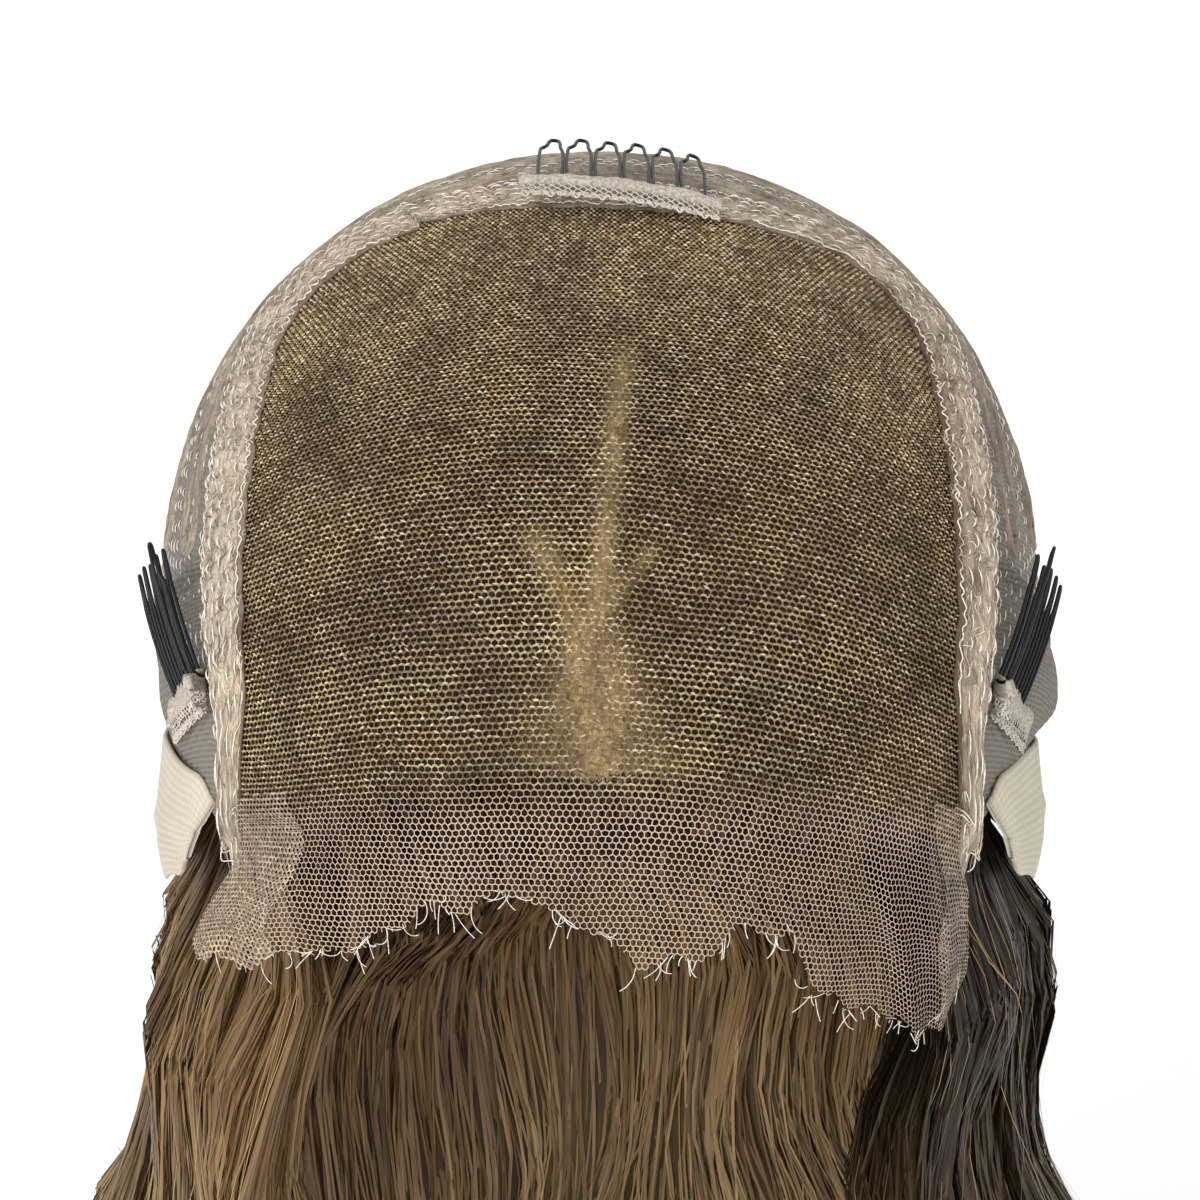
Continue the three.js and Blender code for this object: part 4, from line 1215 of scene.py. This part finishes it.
def comb_frame(place):
    """The middle of a comb on the head, the way its bar runs and the way its teeth point."""
    azimuth, length, turn = place[:3]
    angle = arc(length)
    middle = pole_direction(np.array(azimuth), np.array(angle))
    away = pole_direction(np.array(azimuth), np.array(angle + 90))
    around = np.cross(middle, away)
    spin = np.radians(turn)
    return middle, around * np.cos(spin) + away * np.sin(spin), away * np.cos(spin) - around * np.sin(spin)


def comb_slant(name):
    """How far the top tape follows the slanted back edge of the closure, for each length along its bar."""
    return TOP_COMB_SLANT if name == "top" else 0.0


def comb_slope(name):
    """How much the top tape rises towards its left end, for each length along its bar."""
    return TOP_COMB_SLOPE if name == "top" else 0.0


def on_comb(name, bar, reach, height):
    """A point over the head at a length along a comb's bar and a reach towards its teeth."""
    middle, along, teeth = comb_frame(COMBS[name])
    radius = head_radius(middle)
    bar, reach = np.broadcast_arrays(bar, reach + comb_slant(name) * bar)
    direction = unit(middle + along * (bar / radius)[..., None] + teeth * (reach / radius)[..., None])
    return on_head(direction, seam_rise(direction) + height + comb_slope(name) * bar)


# One loop of a comb in shares of its width and of the teeth's length
LOOP_PATH = np.array([
    (0.0, 0), (-0.01, 0.3), (0.02, 0.58), (0.06, 0.72), (0.2, 0.77), (0.31, 0.84), (0.39, 0.97), (0.5, 1.01),
    (0.74, 0.98), (0.83, 0.9), (0.87, 0.74), (0.96, 0.6), (0.98, 0.35), (0.97, 0),
])


def curve_through(points, steps):
    """A smooth line through points: each stretch is the cubic whose ends follow their neighbours."""
    padded = np.concatenate([2 * points[:1] - points[1:2], points, 2 * points[-1:] - points[-2:-1]])
    share = (np.arange(steps) / steps)[None, :, None]
    p0, p1, p2, p3 = (padded[i:len(padded) - 3 + i, None] for i in range(4))
    curve = 0.5 * (
        2 * p1 + (p2 - p0) * share + (2 * p0 - 5 * p1 + 4 * p2 - p3) * share ** 2
        + (3 * p1 - p0 - 3 * p2 + p3) * share ** 3
    )
    return np.concatenate([curve.reshape(-1, points.shape[1]), points[-1:]])


class WIG_OT_combs(bpy.types.Operator):
    """Three wire combs of six loops with kinked tips, and the crocheted tapes that hold them."""

    bl_idname = "wig.combs"
    bl_label = "Combs and Tapes"

    def execute(self, context):
        wire = wire_finish("coated_wire")
        trim = thread_finish("crochet_thread", (196, 188, 177), (164, 154, 140))
        for name, place in COMBS.items():
            self.comb(name, place, wire)
            self.tape(name, place, trim)
        return {"FINISHED"}

    def comb(self, name, place, finish):
        """A round wire along the loops, lifted from the head in proportion to its reach."""
        bars, reaches = [], []
        width = LOOP_WIDTH if name == "top" else LOOP_WIDTH * 0.6
        for loop in range(COMB_LOOPS):
            start = (loop - COMB_LOOPS / 2) * LOOP_PITCH + (LOOP_PITCH - width) / 2
            bars.append(start + LOOP_PATH[:, 0] * width)
            reaches.append(LOOP_PATH[:, 1] * TOOTH_LENGTH * (1 + 0.02 * np.sin(loop * 2.3)))
        flat = curve_through(np.stack([np.concatenate(bars), np.concatenate(reaches)], -1), 6)
        flat[:, 0] *= -1
        rise = np.radians(place[5]) + 0 * flat[:, 0]
        if name == "top":
            flat[:, 0] = flat[:, 0] * TOP_COMB_SHARE - 0.25
            flat[:, 1] *= TOP_TOOTH_SHARE
        else:
            upper = -np.sign(place[2]) * COMB_LOOPS * LOOP_PITCH / 2
            flat[:, 0] = upper + (flat[:, 0] - upper) * SIDE_COMB_SHARE
            rise = rise + np.radians(SIDE_COMB_RISE)
        root = place[4] / 2 - 1.4 + comb_slant(name) * flat[:, 0]
        middle, along, teeth = comb_frame(place)
        radius = head_radius(middle)
        aside = middle + along * (flat[:, 0] / radius)[:, None]
        foot = unit(aside + teeth * (root / radius)[:, None])
        height = TAPE_REST + TAPE_WALL / 2 + seam_rise(foot) + np.tan(rise) * flat[:, 1]
        under = unit(aside + teeth * ((root + flat[:, 1]) / radius)[:, None])
        path = on_head(under, height + 0.25 + comb_slope(name) * flat[:, 0])[None]
        points, faces = tubes(path, 0.34, 8)
        comb = put_mesh("comb_wire_" + name, points, faces, finish=finish)
        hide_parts("wire_comb_" + name)

    def tape(self, name, place, finish):
        """A folded cloth edge with scallops, and below it two rows of eyelets between crossing threads."""
        length, width = place[3], place[4] * TAPE_SHARE
        gather = 0.0 if name == "top" else 0.9
        columns, rows = 160, 12
        bar = np.linspace(-0.5, 0.5, columns)[None, :] * length + np.zeros((rows, 1))
        share = np.linspace(0, 1, rows)[:, None] + np.zeros((1, columns))
        scallop = 0.45 * np.abs(np.sin(bar * 1.25)) * share ** 3 + 0.3 * wobble(bar / 2, share, 101) * share
        taper = 0.47 if name == "top" else 0.3
        ends = 1 - smooth(taper, 0.5, np.abs(bar) / length) * (0.25 if name == "top" else 0.6)
        low = 0.08 * width if name == "top" else -0.08 * width
        reach = low + (0.5 * width * ends + scallop - low) * share
        crumple = (0.5 + gather) * wobble(bar / 1.7, reach / 1.5, 102)
        crumple = crumple + 0.3 * wobble(bar / 0.7, reach / 0.7, 103)
        cushion = 0.8 * ends * np.sin(np.pi * np.clip(share, 0, 1)) ** 0.6
        outer = on_comb(name, bar, reach, TAPE_REST + 0.9 + cushion + 0.45 * crumple)
        inner = on_comb(name, bar, reach, TAPE_REST + 0.1 + 0 * bar)
        points, faces = shell(outer, inner)
        made = Finish("tape_cloth_" + name, Roughness=0.85)
        uv = np.stack([bar, reach], -1) * METRES
        knit = made.noise(made.place("UV", (1500, 1500, 1)), 1.0, 3)
        colour = made.ramp(knit, [(0.32, linear(136, 125, 110)), (0.62, linear(190, 182, 170))])
        made.link("Base Color", colour)
        made.bump(knit, 0.8, 0.0006)
        cloth = put_mesh("tape_cloth_" + name, points, faces, uv=np.tile(uv.reshape(-1, 2), (2, 1)),
                         finish=made.material)
        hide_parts("comb_tape_" + name)
        self.eyelets(name, place, finish, gather)

    def eyelets(self, name, place, finish, gather):
        """Four threads that sway against each other in turn, with a dense edge of small loops."""
        length, width = place[3], place[4] * TAPE_SHARE
        steps = 300
        bar = np.linspace(-0.485, 0.485, steps) * length
        cells = 20
        phase = 2 * np.pi * cells * bar / length / 2
        rows = []
        drop = 0.14 * width
        for line in range(4):
            middle = 0.04 * width - line * drop
            sign = 1 if line % 2 == 0 else -1
            slack = gather * 0.5 * wobble(bar / 2.4, bar * 0 + line, 110 + line)
            reach = middle + sign * 0.46 * drop * np.sin(2 * phase) + slack
            height = TAPE_REST + 0.75 + 0.3 * gather * wobble(bar / 1.5, bar * 0, 115)
            rows.append(np.stack([bar, reach, height + 0.12 * sign * np.cos(2 * phase)], -1))
        edge = 0.04 * width - 3 * drop
        # The edge's three threads, each with its depth, its sway and its pace
        for number, (depth, amount, rate) in enumerate(((0.25, 0.2, 1.0), (0.6, 0.28, 1.6), (1.0, 0.45, 0.8))):
            reach = edge - depth + amount * np.sin(2 * phase * rate + number)
            height = TAPE_REST + 0.7 + 0.22 * np.cos(3 * phase * rate + number)
            rows.append(np.stack([bar, reach, height], -1))
        flat = np.stack(rows)
        paths = on_comb(name, flat[..., 0], flat[..., 1], flat[..., 2])
        radius = np.array([0.17] * 4 + [0.22] * 3)[:, None] * np.ones((1, steps))
        points, faces = tubes(paths, radius, 4)
        put_mesh("tape_eyelets_" + name, points, faces, finish=finish)


class WIG_OT_band(bpy.types.Operator):
    """The ribbed elastic band round the back of the head, from one ear panel to the other."""

    bl_idname = "wig.band"
    bl_label = "Elastic Band"

    def execute(self, context):
        steps, across = 200, 18
        turn = np.linspace(-125, 125, steps)[:, None]
        angle = np.pi * np.linspace(0, 1, across)
        half = np.concatenate([-np.cos(angle), np.cos(angle)])
        wall = np.concatenate([np.sin(angle) ** 0.25, -np.sin(angle) ** 0.25])
        share = (half / 2 + 0.5)[None, :]
        size = np.abs(turn)
        middle, height, flare = (table(BAND_COURSE, size, column) for column in (1, 2, 3))
        wide = BAND_WIDTH * (1 - 0.12 * smooth(108, 120, size) - 0.34 * smooth(120, 125, size) ** 2)
        level = -middle + (0.5 - share) * wide + (3 + 4 * (1 - share)) * smooth(92, 124, size)
        tuck = smooth(66, 94, size) * (1 - smooth(0, 0.8, share))
        height = height * (1 - 0.85 * tuck)
        flare = flare * (1 - 0.45 * smooth(80, 105, size))
        fold = 0.6 * np.exp(-((share - 0.5 - 0.03 * np.sin(turn / 9)) / 0.05) ** 2) * smooth(60, 100, size)
        ripple = 0.25 * np.sin(turn / 3.2 + share * 2)
        slant = np.sign(turn) * smooth(98, 125, size) * (4.5 - 9 * share)
        height = height + flare * share + BAND_WALL / 2 + wall[None, :] * BAND_WALL / 2
        points = on_head(level_direction(turn + slant, level), height + fold + ripple)
        faces = facing(points, grid_faces(steps, 2 * across, wrap=True))
        ring = np.arange(2 * across)
        near, after, last = ring[:across - 1], ring[1:across], 2 * across - 1
        fan = np.stack([near, after, last - after, last - near], -1)
        faces = np.concatenate([faces, fan[:, ::-1], fan + (steps - 1) * 2 * across])
        length = turn * np.pi / 180 * 0.09
        uv = np.stack(np.broadcast_arrays(length, share * BAND_WIDTH * METRES), -1)
        band = put_mesh("band_elastic", points, faces, uv=uv,
                        finish=elastic_finish("ribbed_elastic"))
        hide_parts("elastic_band")
        return {"FINISHED"}


def strands(source, count, first, last, steps, inner_share=0.3, flyaway=0.0):
    """Paths of hanging hairs: each keeps near its lock, sways with it and ends at its own length."""
    share = np.linspace(0, 1, steps)[None, :]
    turn = source.uniform(first, last, count)[:, None]
    lock_width = 7.0
    lock = np.round((turn - first) / lock_width) * lock_width + first
    lock = np.clip(lock, first + 2, last - 2)
    noise = np.sin(lock * 12.9)
    inner = source.uniform(0, 1, count)[:, None] < inner_share
    deep = source.uniform(0.55, 1.02, count)[:, None]
    shallow = source.uniform(0, 1, count)[:, None] ** 2 * 0.5
    inside = np.where(inner, deep, shallow)
    # One strand in ten covers the two side walls of the curtain
    wall = source.uniform(0, 1, count)[:, None] < 0.1
    near_end = np.where(turn < (first + last) / 2, first - 0.7, last + 0.7)
    turn = np.where(wall, near_end, turn)
    lock = np.where(wall, turn, lock)
    inside = np.where(wall, source.uniform(0, 1, count)[:, None], inside)
    inner = inner & ~wall
    rim = -rim_level(turn)
    top = np.maximum(rim - HAIR_TOP_LAP * source.uniform(0.2, 1, count)[:, None], 6)
    end = HAIR_LENGTH + END_WAVE * np.sin(np.radians(turn * LOCKS_PER_TURN))
    end = end - source.uniform(-9, 18, count)[:, None]
    drop = top + (end - top) * share ** 1.08
    pull = smooth(0.1, 0.9, share) * source.uniform(0, 0.3, count)[:, None]
    sway = (1.8 + 0.8 * noise) * np.sin(drop / 21 + turn / 9) * smooth(rim, rim + 60, drop)
    own = source.normal(0, 1.1, count)[:, None] * np.sin(drop / 19 + source.uniform(0, 6, count)[:, None])
    place = turn + (lock - turn) * pull + (sway + own) * (1 + 2 * flyaway) * np.where(wall, 0.3, 1)
    place = np.clip(place, first - 2.5 * (1 + flyaway), last + 2.5 * (1 + flyaway))
    paths = hair_point(place, drop, inside + 0 * drop)
    out = paths - CENTRE
    out[..., 2] = 0
    out = unit(out)
    growth = smooth(rim, rim + 30, drop)
    proud = source.uniform(0.1, 1.1, count)[:, None] + flyaway * source.uniform(1, 7, count)[:, None] * share
    shift = np.where(inner, -0.6, proud) * growth + 0.5 * np.sin(drop / 9 + 6 * noise) * growth
    left_flare = 8 * np.exp(-((place + 96) / 22) ** 2) * smooth(96, 128, drop) * smooth(200, 140, drop)
    paths = paths + out * (shift + left_flare)[..., None]
    return paths, out, share + 0 * drop, turn


class WIG_OT_hair(bpy.types.Operator):
    """Silky waved hair in three curtains, each a backing of locks covered in drawn strands."""

    bl_idname = "wig.hair"
    bl_label = "Hair"

    def execute(self, context):
        sizes = context.scene.wig_hair
        source = np.random.default_rng(2024)
        sides = (
            ("left", -132, -62, 1.0, 0.35, ((66, 50, 31), (116, 92, 62), (160, 138, 104))),
            ("back", -61, 61, 1.1, 0.72, ((74, 56, 36), (132, 106, 74), (178, 154, 118))),
            # The right curtain's colours are much darker than the left's: painted shade on the side away from
            # the key lamp
            ("right", 62, 132, 1.0, 0.35, ((12, 9, 6), (44, 33, 21), (112, 92, 64))),
        )
        for name, first, last, share, inner, colours in sides:
            finish = hair_finish("hair_" + name, *colours)
            self.backing(name, first, last, colours)
            self.cover(name, source, int(sizes.strands * share), first, last, inner, sizes.width, finish)
        finish = hair_finish("flyaway_hair", (120, 96, 62), (150, 124, 84), (188, 164, 124), 0.4)
        paths, out, down, turn = strands(source, sizes.flyaways, -131, 131, 30, 0.05, 1.0)
        points, faces = ribbons(paths, 0.22 * (1 - 0.6 * down), out)
        own = np.repeat(source.uniform(0.3, 1, sizes.flyaways), 60)
        put_mesh("hair_flyaways", points, faces, values={"own": own, "down": np.repeat(down.ravel(), 2)},
                 finish=finish)
        self.lining()
        return {"FINISHED"}

    def backing(self, name, first, last, colours):
        """The curtain's closed form, a little inside its solid, ridged by its locks."""
        columns, rows = 56, 48
        turn = np.linspace(first, last, columns)[None, :] + np.zeros((rows, 1))
        top = np.maximum(-rim_level(turn) - HAIR_TOP_LAP, 6)
        end = HAIR_LENGTH - 8 + END_WAVE * np.sin(np.radians(turn * LOCKS_PER_TURN))
        drop = top + (end - top) * np.linspace(0, 1, rows)[:, None] ** 1.1
        outer = hair_point(turn, drop, np.full(turn.shape, 0.06))
        inner = hair_point(turn, drop, np.full(turn.shape, 0.94))
        points, faces = shell(outer, inner)
        # The backing takes 0.6 of its curtain's colours: painted shade in the depth of the hair between the
        # strands
        darker = tuple(tuple(int(part * 0.6) for part in colour) for colour in colours)
        finish = hair_finish("hair_backing_" + name, *darker, 0.7, 0.1)
        uv = np.stack([np.radians(turn) * 0.09, drop * METRES], -1).reshape(-1, 2)
        down = np.tile(((drop - top) / (end - top)).ravel(), 2)
        own = 0.45 + 0.25 * wobble(turn / 3, drop / 60, 130)
        values = {"down": down, "own": np.tile(own.ravel(), 2)}
        backing = put_mesh("hair_backing_" + name, points, faces, uv=np.tile(uv, (2, 1)), values=values,
                           finish=finish)
        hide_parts("hair_" + name)

    def cover(self, name, source, count, first, last, inner, width, finish):
        """Drawn strands over the outer and inner side of a curtain, thinning towards their ends."""
        steps = 17
        paths, out, down, turn = strands(source, count, first, last, steps, inner)
        wide = width * source.uniform(0.5, 1.4, count)[:, None] * (1 - 0.72 * down ** 2)
        twist = source.normal(0, 0.35, count)[:, None] + 0.4 * np.sin(down * 9 + turn)
        points, faces = ribbons(paths, wide, out, twist)
        own = source.normal(0.5, 0.22, count) + 0.12 * np.sin(turn.ravel() / 2.6)
        # On the back curtain the strands darken towards its right-hand end: painted shade on the side away
        # from the key lamp
        if name == "back":
            own -= 0.42 * smooth(22, 62, turn.ravel())
        own = np.clip(own, 0, 1)
        uv = np.stack([np.tile([0, 0.0006], count * steps), np.repeat(down.ravel() * 0.33, 2)], -1)
        uv[:, 0] += np.repeat(source.uniform(0, 1, count), steps * 2)
        put_mesh("hair_strands_" + name, points, faces, uv=uv,
                 values={"own": np.repeat(own, steps * 2), "down": np.repeat(down.ravel(), 2)},
                 finish=finish)

    def lining(self):
        """Wefted hair under the cap, combed down to the rim."""
        columns, rows = 160, 24
        round_ = np.linspace(-0.965, 0.965, columns)[None, :] + np.zeros((rows, 1))
        down = np.linspace(0, 0.975, rows)[:, None] + np.zeros((1, columns))
        direction = cap_direction(round_, down, 2 * CAP_INSET)
        ridges = 0.35 * np.sin(round_ * 150 + 3 * np.sin(down * 9))
        ridges = ridges + 0.3 * wobble(round_ * 20, down * 6, 140)
        outer = on_head(direction, np.full(down.shape, -2.7))
        inner = on_head(direction, -4.6 + ridges)
        points, faces = shell(outer, inner)
        finish = hair_finish("hair_lining", (46, 35, 22), (72, 55, 36), (104, 82, 54), 0.45)
        uv = np.tile(np.stack([round_ * 0.2, down * 0.12], -1).reshape(-1, 2), (2, 1))
        own = np.tile((0.5 + 0.3 * wobble(round_ * 60, down * 3, 141)).ravel(), 2)
        lining = put_mesh("hair_lining", points, faces, uv=uv,
                          values={"down": np.tile(down.ravel() * 0.8, 2), "own": own},
                          finish=finish)
        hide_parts("crown_hair")


class WIG_OT_stage(bpy.types.Operator):
    """Camera at the photograph's angle, pale floor and soft studio light."""

    bl_idname = "wig.stage"
    bl_label = "Stage"

    def execute(self, context):
        middle = CENTRE * METRES
        tilt = np.radians(CAMERA_TILT)
        camera = bpy.data.objects.new("camera", bpy.data.cameras.new("camera"))
        camera.location = middle + CAMERA_DISTANCE * np.array([0, -np.cos(tilt), np.sin(tilt)])
        camera.rotation_euler = (np.pi / 2 - tilt, 0, 0)
        camera.data.lens = CAMERA_LENS
        camera.data.sensor_width = CAMERA_SENSOR
        context.scene.collection.objects.link(camera)
        context.scene.camera = camera
        low = min(point[2] for point in CAD_BOX) - 0.012
        half = 6.0
        mesh = bpy.data.meshes.new("floor")
        corners = [(-half, -half, low), (half, -half, low), (half, half, low), (-half, half, low)]
        mesh.from_pydata(corners, [], [(0, 1, 2, 3)])
        made = Finish("floor", Roughness=0.9)
        grain = made.noise(made.place(), 8, 2)
        made.link("Base Color", made.ramp(grain, [(0.2, (0.9, 0.9, 0.9)), (0.8, (0.94, 0.94, 0.94))]))
        mesh.materials.append(made.material)
        floor = bpy.data.objects.new("floor", mesh)
        context.scene.collection.objects.link(floor)
        self.lights(context)
        return {"FINISHED"}

    def lights(self, context):
        """Large soft lamps in front, above and behind, in an even white room."""
        for name, place, size, power in LAMPS:
            lamp = bpy.data.lights.new(name, "AREA")
            lamp.size = size
            lamp.energy = power
            made = bpy.data.objects.new(name, lamp)
            aim = CENTRE * METRES - np.array(place)
            made.location = place
            made.rotation_euler = mathutils.Vector(aim).to_track_quat("-Z", "Y").to_euler()
            context.scene.collection.objects.link(made)
        world = bpy.data.worlds.new("studio")
        world.use_nodes = True
        room = world.node_tree.nodes["Background"].inputs
        room["Color"].default_value = (1, 1, 1, 1)
        room["Strength"].default_value = ROOM_LIGHT
        context.scene.world = world
        context.scene.view_settings.view_transform = "Standard"


class WIG_PT_panel(bpy.types.Panel):
    """Lists the wig's sizes and the operators that build it."""

    bl_label = "Wig"
    bl_idname = "WIG_PT_panel"
    bl_space_type = "VIEW_3D"
    bl_region_type = "UI"
    bl_category = "Wig"

    def draw(self, context):
        for group in (context.scene.wig_lace, context.scene.wig_hair, context.scene.wig_stitches):
            box = self.layout.box()
            for key in group.bl_rna.properties.keys():
                if key not in ("name", "rna_type"):
                    box.prop(group, key)
        for operator in OPERATORS:
            self.layout.operator(operator.bl_idname)


OPERATORS = (
    WIG_OT_stage, WIG_OT_lace, WIG_OT_closure_hair, WIG_OT_seam, WIG_OT_cap, WIG_OT_stitches, WIG_OT_combs,
    WIG_OT_band, WIG_OT_hair,
)
GROUPS = (LaceSettings, HairSettings, StitchSettings)


def register():
    """Adds the settings, operators and panel."""
    for group in (*GROUPS, *OPERATORS, WIG_PT_panel):
        bpy.utils.register_class(group)
    bpy.types.Scene.wig_lace = bpy.props.PointerProperty(type=LaceSettings)
    bpy.types.Scene.wig_hair = bpy.props.PointerProperty(type=HairSettings)
    bpy.types.Scene.wig_stitches = bpy.props.PointerProperty(type=StitchSettings)


def unregister():
    """Takes the settings, operators and panel away."""
    del bpy.types.Scene.wig_lace, bpy.types.Scene.wig_hair, bpy.types.Scene.wig_stitches
    for group in reversed((*GROUPS, *OPERATORS, WIG_PT_panel)):
        bpy.utils.unregister_class(group)


def main():
    """Registers the add-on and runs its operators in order."""
    register()
    for operator in OPERATORS:
        group, name = operator.bl_idname.split(".")
        getattr(getattr(bpy.ops, group), name)()
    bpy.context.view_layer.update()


if __name__ == "__main__":
    main()
